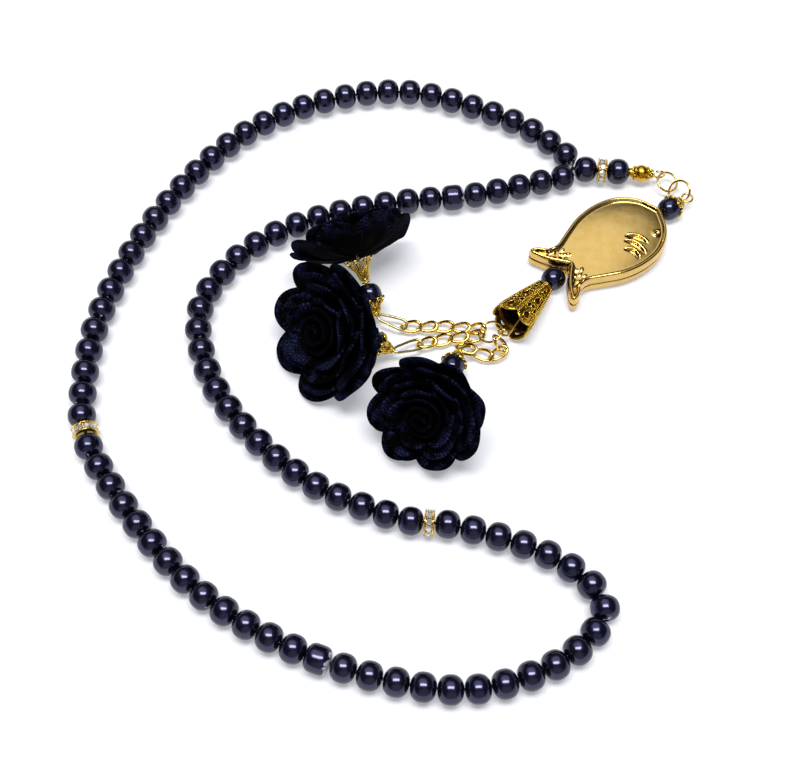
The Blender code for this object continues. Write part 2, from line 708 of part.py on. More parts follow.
fish_out = heading(FISH_ANGLE)
fish_tail = on_table(FISH_TAIL_BEAD)
head_bead = fish_tail + fish_out * (FISH_NOSE + FISH_HEAD_GAP + BEAD_RADIUS)
head_end = head_bead + fish_out * cap_length(BEAD_RADIUS, SHORT_REACH)
head_eye = head_end + fish_out * (EYE_RADIUS + 0.9)
fish_catch = head_eye + fish_out * (catch - 0.2)
ring_catch = ring_centre + ring_out * (TAIL_RING_RADIUS - WIRE - 3 * RUNNING_GAP)
link_out = (fish_catch - ring_catch).normalized()
link_radius = (fish_catch - ring_catch).length / 2
link_side = UP.cross(link_out).normalized()
lean = math.radians(LINK_RING_LEAN)
link_normal = link_side * math.sin(lean) + link_side.cross(link_out).normalized() * math.cos(lean)
link_centre = (fish_catch + ring_catch) / 2
hang("link_ring", ring_catch, [ring("link_ring", link_centre, link_normal, link_radius, WIRE)])

# The pin through the fish bends in the tail bead and goes on down the cone to an eye
cone_out = heading(CONE_ANGLE, CONE_RISE)
ring_lean = heading(TASSEL_RING_ANGLE, TASSEL_RING_RISE)
cone_tip = fish_tail + cone_out * CONE_START
cone_eye = on_table(fish_tail + cone_out * (CONE_START + CONE_LENGTH + 2.5), TASSEL_EYE_HEIGHT)
flat_side = UP.cross(fish_out)
head_loop = eye(head_eye, fish_out, flat_side, EYE_RADIUS)
cone_loop = eye(cone_eye, heading(TASSEL_RING_ANGLE), UP, EYE_RADIUS)
pin = head_loop[::-1] + [head_end, head_bead, fish_tail, cone_tip + cone_out * 2] + cone_loop
hang("fish_pin", fish_catch, [
    tube("fish_pin", pin, WIRE / 2, GOLD),
    bead_cap("fish_head_cap", head_bead, fish_out, BEAD_RADIUS, SHORT_REACH),
])
hang("fish_head_bead", head_bead, [ball("fish_head_bead", head_bead, fish_out, BEAD_RADIUS, BEAD_BORE, PEARL)])
fish_frame = frame_facing(fish_tail, UP, fish_out)
hang("fish", fish_tail, [fish("fish", fish_frame)])
bead_axis = (fish_out - cone_out).normalized()
hang("fish_tail_bead", fish_tail, [ball("fish_tail_bead", fish_tail, bead_axis, BEAD_RADIUS, doubled_bore, PEARL)])
hang("filigree_cone", cone_tip, [cone("filigree_cone", frame_facing(cone_tip, cone_out, ring_lean))])

# The tassel ring, its three chains and a rose at the end of each
tassel_catch = cone_eye + heading(TASSEL_RING_ANGLE) * catch
tassel_centre = tassel_catch + ring_lean * TASSEL_RING_RADIUS
tassel_normal = (UP - ring_lean * UP.dot(ring_lean)).normalized()
hang("tassel_ring", tassel_catch, [ring("tassel_ring", tassel_centre, tassel_normal, TASSEL_RING_RADIUS, WIRE)])
for number, (plan, place) in enumerate(zip(CHAINS, ROSES), 1):
    turn = math.radians(plan["hangs"])
    out = ring_lean * math.cos(turn) + ring_lean.cross(UP).normalized() * math.sin(turn)
    hold = tassel_centre + out * TASSEL_RING_RADIUS
    route = [tassel_centre + Vector((*point, 0)) for point in plan["route"]]
    links, hook = chain(f"chain_{number}", hold, route, plan["links"])
    hang(f"chain_{number}", hold, [links])
    bead = on_table(tassel_centre + Vector(place["bead"]), place["bead"][2])
    pieces, pearl = rose(number, place, bead, hook)
    hang(f"rose_{number}", hook, pieces)
    hang(f"rose_{number}_bead", bead, [pearl])

# Everything is moved so that the middle of the footprint is the origin
bpy.context.view_layer.update()
graph = bpy.context.evaluated_depsgraph_get()
points = []
for piece in PARTS.objects:
    if piece.type != "EMPTY":
        points += [piece.matrix_world @ v.co for v in piece.evaluated_get(graph).to_mesh().vertices]
low = Vector([min(p[i] for p in points) for i in range(3)])
high = Vector([max(p[i] for p in points) for i in range(3)])
middle = (low + high) / 2
for piece in bpy.data.objects:
    if piece.parent is None:
        piece.location -= Vector((middle.x, middle.y, low.z))
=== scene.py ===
"""The looks of a misbaha: ninety-nine pearl beads, gold findings, a fish pendant and three velvet roses.

Pieces are set out in millimetres, as the string lies on the table. As each is made, it is moved to the place
that the solids have.
"""
import math
import random

import bmesh
import bpy
import numpy as np
from mathutils import Matrix, Vector, geometry, noise


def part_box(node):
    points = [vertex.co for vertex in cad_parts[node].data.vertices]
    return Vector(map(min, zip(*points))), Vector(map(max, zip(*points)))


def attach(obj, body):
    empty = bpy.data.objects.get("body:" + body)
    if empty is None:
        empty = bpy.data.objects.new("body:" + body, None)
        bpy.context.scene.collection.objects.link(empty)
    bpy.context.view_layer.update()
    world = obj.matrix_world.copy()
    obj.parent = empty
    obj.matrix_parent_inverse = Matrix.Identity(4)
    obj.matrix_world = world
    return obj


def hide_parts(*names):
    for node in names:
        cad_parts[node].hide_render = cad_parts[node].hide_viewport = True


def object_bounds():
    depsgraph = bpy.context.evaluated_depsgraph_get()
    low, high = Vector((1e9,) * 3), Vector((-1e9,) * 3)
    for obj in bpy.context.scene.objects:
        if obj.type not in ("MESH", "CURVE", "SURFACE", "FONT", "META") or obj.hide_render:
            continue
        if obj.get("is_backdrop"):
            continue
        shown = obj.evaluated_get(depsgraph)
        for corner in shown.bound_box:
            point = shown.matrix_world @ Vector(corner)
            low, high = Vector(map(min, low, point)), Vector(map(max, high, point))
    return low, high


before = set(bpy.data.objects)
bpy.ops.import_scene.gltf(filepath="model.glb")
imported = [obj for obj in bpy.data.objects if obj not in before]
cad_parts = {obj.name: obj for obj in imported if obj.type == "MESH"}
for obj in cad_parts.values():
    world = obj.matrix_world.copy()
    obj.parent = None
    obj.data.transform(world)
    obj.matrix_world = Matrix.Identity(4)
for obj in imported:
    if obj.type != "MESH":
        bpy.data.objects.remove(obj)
cad_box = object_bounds()
random.seed(99)

MM = 0.001
UP = Vector((0, 0, 1))
# A Mix node's two colours and its result, by place, because their names repeat
MIX_A = 6
MIX_B = 7
MIXED = 2

# Clearances: between pieces that turn, and between pieces that touch
GAP = 0.3
TOUCH = 0.15

# Beads: half their length on the cord, radius across it, spacing and drill hole
BEADS = 99
THIRD = 33
RUN_BEADS = 11
BEAD_RADIUS = 3.93
BEAD_GIRTH = 4.5
BEAD_PITCH = 7.9
BEAD_BORE = 1.7
# How far a bead is filled out, where 2 is an ellipse, and the beads that were moulded more like a barrel
BEAD_SQUARE = 2.35
BARREL_SQUARE = 3.4
BARREL_BEADS = (46, 93)
# How worn the lacquer is at both ends of a round bead, and at one end of a barrel
ROUND_WEAR = 0.97
BARREL_WEAR = 1.3
# The string's height over the table, its cord, and how far each strand in the tail is off the middle
STRING_HEIGHT = 4.7
CORD_RADIUS = 0.4
CORD_SPREAD = 0.5

# Rondelles: width, a flange's profile as radius and depth under its face, and the hub's radius and half width
RONDELLE_WIDTH = 3.2
FLANGE = ((1.3, 0.0), (3.5, 0.0), (4.0, 0.05), (4.2, 0.28), (4.0, 0.52), (2.6, 0.6))
HUB_RADIUS = 2.4
HUB_HALF = 0.6
# Their cut stones, the claws between those, and the milled grains on the flanges
STONES = 10
STONE_SEAT = 3.58
STONE_SIZE = 1.18
CLAW_SEAT = 3.85
CLAW_SIDE = 0.62
CLAW_GRAIN = 0.3
MILLED_GRAINS = 44
MILLED_SEAT = 4.14
MILLED_DEPTH = 0.28
MILLED_GRAIN = 0.18

# Gold findings: wire across, the radius of the roses' pins, the share of a turn in an eye, eyes, rings, ball
WIRE = 0.8
PIN_WIRE = 0.46
EYE_SHARE = 0.86
EYE_RADIUS = 1.8
TAIL_RING_RADIUS = 3.6
TASSEL_RING_RADIUS = 4.0
BALL_RADIUS = 2.7
BALL_SWELL = 0.2
BALL_BORE = 2.4
# Caps: how far one stands off its bead, how its dome rises and how far it reaches past that
CAP_WALL = 0.1
CAP_DOME = 1.12
CAP_REACH = 2.2
SHORT_REACH = 0.6
# The ball's caps: radius of the hole, petals, and how near the lip comes to the middle
BALL_CAP = (1.2, 4, 0.66)
# Filigree: petals in a cup, and the radius of its stout and its fine wire
CUP_PETALS = 6
STOUT_WIRE = 0.27
FINE_WIRE = 0.19

# The fish from its tail bead: half thickness, height of the seam, nose, half width, and its dome
FISH_HALF = 3.95
FISH_SEAM = 2.3
FISH_NOSE = 46.3
FISH_WIDE = 14.6
FISH_MIDDLE = 27.0
FISH_DOME_REACH = 21
FISH_DOME = 1.5
# Its rounded edge, the flat rim inside that, and the slope down to the sunk face
FISH_BEVEL = 0.8
FISH_RIM = 0.15
FISH_SLOPE = 0.9
FISH_RECESS = 1.5
# Its wall from the upper edge to the lower one: how far it stands out, and its height
FISH_WALL = [
    (0.1, 1.7), (0.12, 1.1), (0.06, 0.75), (-0.1, 0.58), (-0.5, 0.4),
    (-0.5, 0.22), (-0.1, 0.04), (0.08, -0.15), (0.14, -0.9), (0.1, -1.7),
]
# Half of its outline: the tail's notch, the fin, and the body as shares of the nose and the half width
FISH_NOTCH = ((6.5, 0), (3.3, 3.3), (0.1, 7.6), (-1.5, 10.8))
FISH_FIN = ((-1.5, 10.8), (-1.0, 12.3), (1.7, 11.7), (4.2, 9.4), (7.4, 8.8))
FISH_BODY = ((0.281, 0.753), (0.432, 0.938), (0.605, 1.0), (0.778, 0.89), (0.918, 0.548), (1.0, 0.0))
# Its relief: gills as middle, half length and lean, the eye, and strokes on the tail as middle and lean
FISH_GILLS = ((31.6, -4.8, 3.9, -55), (29.4, -7.0, 4.1, -72), (26.9, -8.4, 2.9, -70))
FISH_EYE = (38.7, -6.8)
TAIL_STROKES = (
    (6.9, 2.7, 20), (8.7, 3.7, -40), (5.3, 4.0, 30), (7.1, 4.9, -35), (8.3, 6.2, 25), (3.7, 5.6, -30),
    (5.1, 6.9, 30), (6.6, 7.4, -40), (2.4, 7.9, 20), (3.9, 8.3, -40),
)
# The mesh of its face: rows of points at these depths from the edge, then a grid of points inside
FISH_ROWS = (0.05, 0.14, 0.28, 0.48, 0.8, 1.05, 1.13, 1.21, 1.29, 1.37, 1.46, 1.75, 2.2)
FISH_GRID = 0.34
FISH_GRID_DEPTH = 2.7

# The filigree cone: length, outer radius of its sheet by height, panels, and their waists between the ribs
CONE_LENGTH = 21.2
CONE_HEIGHTS = (0, 1.0, 9.5, 16.5, 21.2)
CONE_RADII = (2.6, 3.0, 5.0, 6.5, 7.0)
CONE_PANELS = 6
CONE_WAIST = 0.035
CONE_SHEET = 0.35
# The lip of a panel, as shares of the length: where it starts and how far it reaches
LIP_FOOT = 0.88
LIP_REACH = 0.095
# Across a panel in half widths and along it in lengths: holes as middle and half size, and single grains
CONE_HOLES = (
    (0.0, 0.82, 0.38, 0.075), (-0.5, 0.64, 0.22, 0.06), (0.5, 0.64, 0.22, 0.06), (0.0, 0.6, 0.26, 0.05),
    (0.0, 0.45, 0.5, 0.075), (-0.42, 0.3, 0.22, 0.045), (0.42, 0.3, 0.22, 0.045), (0.0, 0.2, 0.42, 0.05),
)
CONE_GRAINS = ((-0.5, 0.55), (0.5, 0.55), (-0.55, 0.75), (0.55, 0.75), (0, 0.68), (0, 0.34), (0, 0.12))
# The cone's tip as radius and height, and the heights of the mouth and foot of the dark sheet inside it,
# which is painted shade
CONE_TIP = ((0.8, 0.9), (0.8, -0.05), (1.9, -0.1), (2.75, 0.35), (2.75, 0.8), (0.8, 0.9))
SHADE_MOUTH = 18.4
SHADE_FOOT = 0.6

# The solids' chain links, from which the hooks are set off, and how they lean in degrees
LINK_LENGTH = 7.0
LINK_WIDTH = 5.0
LINK_WIRE = 0.9
LINK_LEAN = 88
# The curb chain as it looks: spacing, height, lean and pitch in degrees, twist, radius of wire, half width
CURB_PITCH = 5.4
CURB_HEIGHT = 1.9
CURB_TILT = 10
CURB_PITCHED = 15
CURB_TWIST = 0.5
CURB_WIRE = 0.58
CURB_HALF_WIDTH = 1.8
CURB_POINTS = 32

# Roses: the solids' petal wall and depth, how petals curve, and the height over the table where they flatten
PETAL_WALL = 1.2
ROSE_DEPTH = 10.0
PETAL_CURVE = 3.0
PETAL_REST = 0.8
PETAL_REST_GIVE = 0.05
# Neighbouring petals: how wide each is for its share of the turn, and how far its sides lift over and under
PETAL_LAP = 1.28
PETAL_OVERLAP = 0.55
# The velvet's thickness with its pile
VELVET_THICKNESS = 1.0
# Layers of petals: how many, their share of the rose's radius, hub in steps, rim past the depth, and turn
PETAL_LAYERS = {
    "outer": [(8, 1.0, 0, 0.0, 0)],
    "middle": [(7, 0.86, 1, 2.6, 20)],
    "inner": [(6, 0.68, 2, 4.0, 40), (5, 0.5, 2.6, 5.0, 10)],
}
BUD_PETALS = 7
# The bent eye of a rose's pin: along its reach and to a side, on the way out
PIN_BENDS = [(0.1, 0.45), (0.4, 0.75), (0.75, 0.95), (0.93, 0.85), (1, 0.35)]
PIN_BOW = 2.0

# The route of the loop, from the junction along the back to the left, round the front and back inside
LOOP_ROUTE = [
    (60.2, 80), (49.2, 90.6), (35.2, 98.6), (4.7, 108.6), (-26.8, 104.2), (-53.7, 89.8), (-74.6, 66),
    (-90, 37.6), (-99, 7.8), (-99.6, -22.6), (-96.7, -33), (-79, -59.5), (-57, -82.7), (-30.2, -98.8),
    (0.7, -108.9), (23.6, -110.9), (46.4, -103.9), (58.4, -94.4), (62, -86.4), (58, -78.9), (44.6, -69.3),
    (15.2, -60.1), (4.9, -59.2), (-24.4, -47.6), (-47.6, -27.6), (-60.6, -7.4), (-64.7, 16.2),
    (-53.9, 36.1), (-34.9, 49.6), (-3.9, 58.6), (27.6, 62.6), (58.5, 70),
]
JUNCTION = (66.9, 73.7)
FISH_TAIL_BEAD = (53.2, 28.6)
# Directions on the table in degrees, some with their rise, and how far the link ring leans
TAIL_TURN = -5.0
TAIL_RING_OUT = (-44.0, -18)
FISH_TURN = 34.5
CONE_OUT = (-129.0, 8.0)
TASSEL_TURN = 166.0
TASSEL_RING_OUT = (166.0, -20.0)
LINK_RING_LEAN = 43.0
# Chains and roses, set off from the middle of the tassel ring
CHAINS = [
    {"hangs": 16, "links": 5, "route": [(-10.1, 3.15), (-21.1, 3.25), (-31.1, 3.15)]},
    {"hangs": -22, "links": 4, "route": [(-11.1, -0.75), (-19.1, -2.55), (-27.1, -4.35)]},
    {
        "hangs": -130,
        "links": 4,
        "route": [(5.3, -6.35), (4.3, -10.35), (0.5, -10.15), (-2.7, -6.15), (-8.1, -5.95), (-13.1, -6.95)],
    },
]
ROSES = [
    {
        "bead": (-39.75, 11.55, 8.6), "stem": (112, 33), "reach": 13.2,
        "faces": (108, 20), "size": 40.5, "depth": 0.72,
    },
    {
        "bead": (-38.4, -5.9, 7.8), "stem": (168, 27), "reach": 9.8,
        "faces": (213, 37), "size": 44, "depth": 1.0,
    },
    {
        "bead": (-13.0, -14.4, 7.0), "stem": (248, 14), "reach": 16.6,
        "faces": (247, 36), "size": 37, "depth": 1.0,
    },
]

# The camera: place on the plan in millimetres, tilt in degrees, and lens on a 36 mm sensor
CAMERA_PLACE = (1.54, -208.92, 375.78)
CAMERA_TILT = 27.81
CAMERA_LENS = 58.76
# The table, in metres: half its side, its drop under the string, and its lift as distance and level
TABLE_HALF = 3.0
TABLE_DROP = 0.0002
TABLE_NEAR = (0.3, 0.34)
TABLE_FAR = (1.5, 0.88)
# The dim room, and the sines of the angles over the table at which its white skirting fades
ROOM_LEVEL = 0.035
SKIRTING_FULL = 0.06
SKIRTING_END = 0.24
# Its glow behind the table and its window in front: level, turn and rise, and cosines off its middle where it
# starts and where it is full
GLOWS = ((1.35, 100, 64, 0.83, 0.985), (0.4, 275, 28, 0.7, 0.95))
# The lamp: watts, length, width and place in metres
LAMP_POWER = 28.0
LAMP_SIZE = (1.25, 0.48)
LAMP_PLACE = (0.0, -0.02, 1.72)
LAMP_COLOUR = (1.0, 0.985, 0.955)


def linear(colour):
    """An sRGB hex colour as linear RGBA."""
    channels = [int(colour[i:i + 2], 16) / 255 for i in (1, 3, 5)]
    return (*(c / 12.92 if c <= 0.04045 else ((c + 0.055) / 1.055) ** 2.4 for c in channels), 1)


def add_node(tree, kind, inputs=None, **settings):
    """Add a node with its settings, and set or link its inputs."""
    made = tree.nodes.new(kind)
    for name, value in settings.items():
        setattr(made, name, value)
    for socket, value in (inputs or {}).items():
        if isinstance(value, bpy.types.NodeSocket):
            tree.links.new(value, made.inputs[socket])
        else:
            made.inputs[socket].default_value = value
    return made


def new_material(name):
    """A material with an empty node tree, and that tree."""
    made = bpy.data.materials.new(name)
    made.use_nodes = True
    made.node_tree.nodes.clear()
    return made, made.node_tree


def pearl_lacquer():
    """Moulded acrylic dipped in navy pearl lacquer.

    It gives the eye a nearly black mirror of mica, worn pale at some drill holes.
    """
    made, tree = new_material("pearl_lacquer_on_acrylic")
    place = add_node(tree, "ShaderNodeTexCoord").outputs["Object"]
    tone = add_node(tree, "ShaderNodeAttribute", attribute_name="tone").outputs["Fac"]
    end = add_node(tree, "ShaderNodeAttribute", attribute_name="end").outputs["Fac"]
    body = add_node(tree, "ShaderNodeMix", {
        "Factor": tone, MIX_A: linear("#25294D"), MIX_B: linear("#312E48"),
    }, data_type="RGBA")
    # Clouds of mica about 1.5 mm across
    cloud = add_node(tree, "ShaderNodeTexNoise", {"Vector": place, "Scale": 1 / (1.5 * MM), "Detail": 3.0})
    mica = add_node(tree, "ShaderNodeMix", {
        "Factor": cloud.outputs["Fac"], MIX_A: body.outputs[MIXED], MIX_B: linear("#2C2B47"),
    }, data_type="RGBA")
    # Chips of about 1.6 mm in the lacquer, only where the wear and the noise add up to more than 1.53
    chips = add_node(tree, "ShaderNodeTexNoise", {"Vector": place, "Scale": 1 / (1.6 * MM), "Detail": 2.0})
    near = add_node(tree, "ShaderNodeMath", {0: end, 1: chips.outputs["Fac"]}, operation="ADD")
    worn = add_node(tree, "ShaderNodeMapRange", {
        "Value": near.outputs[0], "From Min": 1.53, "From Max": 1.57,
    })
    colour = add_node(tree, "ShaderNodeMix", {
        "Factor": worn.outputs[0], MIX_A: mica.outputs[MIXED], MIX_B: linear("#B9B7C6"),
    }, data_type="RGBA")
    bare = add_node(tree, "ShaderNodeMapRange", {"Value": worn.outputs[0], "To Min": 0.88, "To Max": 0.0})
    # Orange peel of the dipped coat, drawn at 0.6 mm so that it shows
    peel = add_node(tree, "ShaderNodeTexNoise", {"Vector": place, "Scale": 1 / (0.6 * MM), "Detail": 1.0})
    bump = add_node(tree, "ShaderNodeBump", {
        "Strength": 0.1, "Distance": 0.05 * MM, "Height": peel.outputs["Fac"],
    })
    rough = add_node(tree, "ShaderNodeMapRange", {
        "Value": cloud.outputs["Fac"], "To Min": 0.18, "To Max": 0.28,
    })
    shader = add_node(tree, "ShaderNodeBsdfPrincipled", {
        "Base Color": colour.outputs[MIXED], "Metallic": bare.outputs[0], "Roughness": rough.outputs[0],
        "Normal": bump.outputs[0], "Specular Tint": linear("#3A3A44"), "Coat Weight": 0.75, "Coat IOR": 1.53,
        "Coat Roughness": 0.11,
    })
    add_node(tree, "ShaderNodeOutputMaterial", {"Surface": shader.outputs[0]})
    return made


def gold(name, pale, deep, rough, ripple, grain):
    """Yellow metal in two tones, in patches of grain millimetres, with the ripple of its making."""
    made, tree = new_material(name)
    place = add_node(tree, "ShaderNodeTexCoord").outputs["Object"]
    patch = add_node(tree, "ShaderNodeTexNoise", {"Vector": place, "Scale": 1 / (grain * MM), "Detail": 4.0})
    colour = add_node(tree, "ShaderNodeMix", {
        "Factor": patch.outputs["Fac"], MIX_A: linear(pale), MIX_B: linear(deep),
    }, data_type="RGBA")
    spread = add_node(tree, "ShaderNodeMapRange", {
        "Value": patch.outputs["Fac"], "To Min": rough * 0.6, "To Max": rough * 1.5,
    })
    # The ripple is two and a half patches long
    wave = add_node(tree, "ShaderNodeTexNoise", {"Vector": place, "Scale": 0.4 / (grain * MM), "Detail": 2.0})
    bump = add_node(tree, "ShaderNodeBump", {
        "Strength": ripple, "Distance": 0.3 * MM, "Height": wave.outputs["Fac"],
    })
    shader = add_node(tree, "ShaderNodeBsdfPrincipled", {
        "Base Color": colour.outputs[MIXED], "Metallic": 1.0, "Roughness": spread.outputs[0],
        "Normal": bump.outputs[0],
    })
    add_node(tree, "ShaderNodeOutputMaterial", {"Surface": shader.outputs[0]})
    return made


def cut_glass():
    """Machine-cut clear glass with a silvered back: bright facets with small differences of tone."""
    made, tree = new_material("silver_backed_cut_glass")
    tone = add_node(tree, "ShaderNodeAttribute", attribute_name="tone").outputs["Fac"]
    colour = add_node(tree, "ShaderNodeMix", {
        "Factor": tone, MIX_A: linear("#F4F4F2"), MIX_B: linear("#C9CBD2"),
    }, data_type="RGBA")
    shader = add_node(tree, "ShaderNodeBsdfPrincipled", {
        "Base Color": colour.outputs[MIXED], "Metallic": 0.55, "Roughness": 0.06, "IOR": 1.57,
        "Coat Weight": 1.0, "Coat Roughness": 0.02,
    })
    add_node(tree, "ShaderNodeOutputMaterial", {"Surface": shader.outputs[0]})
    return made


def velvet():
    """Stamped black velvet ribbon.

    Its pile drinks the light and has a faint navy sheen. The ribbon's weave shows at the pressed edges, where
    a lighter navy in patches is painted sheen.
    """
    made, tree = new_material("navy_black_velvet")
    weave_place = add_node(tree, "ShaderNodeUVMap", uv_map="cloth").outputs["UV"]
    place = add_node(tree, "ShaderNodeTexCoord").outputs["Object"]
    edge = add_node(tree, "ShaderNodeAttribute", attribute_name="edge").outputs["Fac"]
    # The ribbon's threads are 0.3 mm apart, drawn at 0.7 mm so that they show, in a map in millimetres
    slant = add_node(tree, "ShaderNodeMapping", {"Vector": weave_place, "Rotation": (0, 0, 0.7)})
    warp, weft = [
        add_node(tree, "ShaderNodeTexWave", {
            "Vector": slant.outputs[0], "Scale": 0.45, "Distortion": 1.2, "Detail": 2.0,
        }, bands_direction=way)
        for way in ("X", "Y")
    ]
    threads = add_node(tree, "ShaderNodeMath", {
        0: warp.outputs["Fac"], 1: weft.outputs["Fac"],
    }, operation="MULTIPLY")
    # Patches of about 4 mm on the pressed edge, where sheen is painted
    sheen_noise = add_node(tree, "ShaderNodeTexNoise", {"Vector": place, "Scale": 1 / (4 * MM), "Detail": 4.0})
    # Painted sheen grows towards the petals' rims
    rim_sheen = add_node(tree, "ShaderNodeMapRange", {"Value": edge, "From Min": 0.7, "From Max": 0.95})
    sheen_patch = add_node(tree, "ShaderNodeMapRange", {
        "Value": sheen_noise.outputs["Fac"], "From Min": 0.44, "From Max": 0.62,
    })
    patchy_sheen = add_node(tree, "ShaderNodeMath", {
        0: rim_sheen.outputs[0], 1: sheen_patch.outputs[0],
    }, operation="MULTIPLY")
    # Stray fibres, drawn at 0.5 mm, break the weave up
    stray = add_node(tree, "ShaderNodeTexNoise", {"Vector": place, "Scale": 1 / (0.5 * MM), "Detail": 2.0})
    fibres = add_node(tree, "ShaderNodeMapRange", {
        "Value": stray.outputs["Fac"], "From Min": 0.4, "From Max": 0.62,
    })
    threads = add_node(tree, "ShaderNodeMath", {
        0: threads.outputs[0], 1: fibres.outputs[0],
    }, operation="MULTIPLY")
    # Painted sheen: in those patches the threads are drawn in a lighter navy
    bare = add_node(tree, "ShaderNodeMath", {
        0: patchy_sheen.outputs[0], 1: threads.outputs[0],
    }, operation="MULTIPLY")
    shown = add_node(tree, "ShaderNodeMapRange", {"Value": bare.outputs[0], "From Max": 0.45})
    # The pile is painted a little lighter there too, as sheen
    pile = add_node(tree, "ShaderNodeMix", {
        "Factor": patchy_sheen.outputs[0], MIX_A: linear("#010102"), MIX_B: linear("#080A1C"),
    }, data_type="RGBA")
    colour = add_node(tree, "ShaderNodeMix", {
        "Factor": shown.outputs[0], MIX_A: pile.outputs[MIXED], MIX_B: linear("#2B3052"),
    }, data_type="RGBA")
    bump = add_node(tree, "ShaderNodeBump", {
        "Strength": 0.35, "Distance": 0.25 * MM, "Height": threads.outputs[0],
    })
    shader = add_node(tree, "ShaderNodeBsdfPrincipled", {
        "Base Color": colour.outputs[MIXED], "Roughness": 0.85, "Specular IOR Level": 0.03,
        "Normal": bump.outputs[0], "Sheen Weight": 0.015, "Sheen Roughness": 0.35,
        "Sheen Tint": linear("#3B4A86"),
    })
    add_node(tree, "ShaderNodeOutputMaterial", {"Surface": shader.outputs[0]})
    return made


def nylon():
    """Twisted dark nylon: fine slanting strands with a dull shine."""
    made, tree = new_material("twisted_nylon")
    place = add_node(tree, "ShaderNodeTexCoord").outputs["Object"]
    # Strands about 0.4 mm wide
    strand = add_node(tree, "ShaderNodeTexWave", {
        "Vector": place, "Scale": 0.5 / (0.4 * MM),
    }, bands_direction="DIAGONAL")
    colour = add_node(tree, "ShaderNodeMix", {
        "Factor": strand.outputs["Fac"], MIX_A: linear("#0B0B14"), MIX_B: linear("#22222E"),
    }, data_type="RGBA")
    bump = add_node(tree, "ShaderNodeBump", {
        "Strength": 0.5, "Distance": 0.1 * MM, "Height": strand.outputs["Fac"],
    })
    shader = add_node(tree, "ShaderNodeBsdfPrincipled", {
        "Base Color": colour.outputs[MIXED], "Roughness": 0.55, "Normal": bump.outputs[0],
    })
    add_node(tree, "ShaderNodeOutputMaterial", {"Surface": shader.outputs[0]})
    return made


PEARL = pearl_lacquer()
# Polished plate mirrors the room, and satin plate only softly
CAST_GOLD = gold("polished_gold_plate", "#E2C27A", "#CBA24E", 0.09, 0.3, 3.0)
BALL_GOLD = gold("satin_gold_plate", "#E6B83C", "#C9961E", 0.24, 0.1, 1.5)
# Drawn wire has long bright lines of light, and the pins are a paler alloy
WIRE_GOLD = gold("drawn_gold_wire", "#F2D67E", "#DDB54C", 0.14, 0.1, 1.5)
PIN_GOLD = gold("pale_gold_wire", "#D3C290", "#AE9A62", 0.2, 0.1, 1.5)
# Stamped filigree glitters over worn brass sheet, and a dark brown sheet inside the cone is painted shade
FILIGREE_GOLD = gold("stamped_filigree_gold", "#F2D45E", "#D9AE34", 0.17, 0.2, 0.8)
BRASS = gold("worn_brass_sheet", "#B8952E", "#8A6A16", 0.28, 0.1, 2.0)
CONE_SHADE = gold("tarnished_brass", "#6E4A14", "#4A2F0A", 0.45, 0.1, 2.0)
GLASS = cut_glass()
VELVET = velvet()
NYLON = nylon()


def new_tree(name, *inputs):
    """A geometry tree with a mesh in and out, and named inputs; returns the tree and its input node."""
    tree = bpy.data.node_groups.new(name, "GeometryNodeTree")
    tree.interface.new_socket("Geometry", in_out="OUTPUT", socket_type="NodeSocketGeometry")
    tree.interface.new_socket("Geometry", in_out="INPUT", socket_type="NodeSocketGeometry")
    for label, kind in inputs:
        tree.interface.new_socket(label, in_out="INPUT", socket_type=kind)
    return tree, add_node(tree, "NodeGroupInput").outputs


def finish_tree(tree, shape, finish):
    """End a tree in real geometry of one finish."""
    real = add_node(tree, "GeometryNodeRealizeInstances", {"Geometry": shape})
    done = add_node(tree, "GeometryNodeSetMaterial", {"Geometry": real.outputs[0], "Material": finish})
    add_node(tree, "NodeGroupOutput", {"Geometry": done.outputs[0]})
    return tree


def copies_tree():
    """Copies of a piece on points, each turned and sized by the point's own attributes."""
    tree, given = new_tree("set_copies", ("Piece", "NodeSocketObject"), ("Finish", "NodeSocketMaterial"))
    piece_shape = add_node(tree, "GeometryNodeObjectInfo", {"Object": given["Piece"]})
    turn = add_node(tree, "GeometryNodeInputNamedAttribute", {"Name": "turn"}, data_type="FLOAT_VECTOR")
    size = add_node(tree, "GeometryNodeInputNamedAttribute", {"Name": "size"}, data_type="FLOAT_VECTOR")
    turned = add_node(tree, "FunctionNodeEulerToRotation", {"Euler": turn.outputs["Attribute"]})
    placed = add_node(tree, "GeometryNodeInstanceOnPoints", {
        "Points": given["Geometry"], "Instance": piece_shape.outputs["Geometry"],
        "Rotation": turned.outputs[0], "Scale": size.outputs["Attribute"],
    })
    return finish_tree(tree, placed.outputs[0], given["Finish"])


def wire_tree():
    """Round wire drawn along every run of edges."""
    sizes = (("Radius", "NodeSocketFloat"), ("Sides", "NodeSocketInt"), ("Finish", "NodeSocketMaterial"))
    tree, given = new_tree("drawn_wire", *sizes)
    line = add_node(tree, "GeometryNodeMeshToCurve", {"Mesh": given["Geometry"]})
    round_wire = add_node(tree, "GeometryNodeCurvePrimitiveCircle", {
        "Radius": given["Radius"], "Resolution": given["Sides"],
    })
    drawn = add_node(tree, "GeometryNodeCurveToMesh", {
        "Curve": line.outputs[0], "Profile Curve": round_wire.outputs[0], "Fill Caps": True,
    })
    smooth = add_node(tree, "GeometryNodeSetShadeSmooth", {"Geometry": drawn.outputs[0]})
    return finish_tree(tree, smooth.outputs[0], given["Finish"])


COPIES = copies_tree()
DRAWN_WIRE = wire_tree()


def evaluate(tree, mesh, values):
    """The plain mesh that a tree makes from a mesh and named values."""
    carrier = bpy.data.objects.new(tree.name, mesh)
    bpy.context.scene.collection.objects.link(carrier)
    change = carrier.modifiers.new("nodes", "NODES")
    change.node_group = tree
    for item in tree.interface.items_tree:
        if item.in_out == "INPUT" and item.name in values:
            change[item.identifier] = values[item.name]
    graph = bpy.context.evaluated_depsgraph_get()
    made = bpy.data.meshes.new_from_object(carrier.evaluated_get(graph))
    bpy.data.objects.remove(carrier)
    bpy.data.meshes.remove(mesh)
    return made


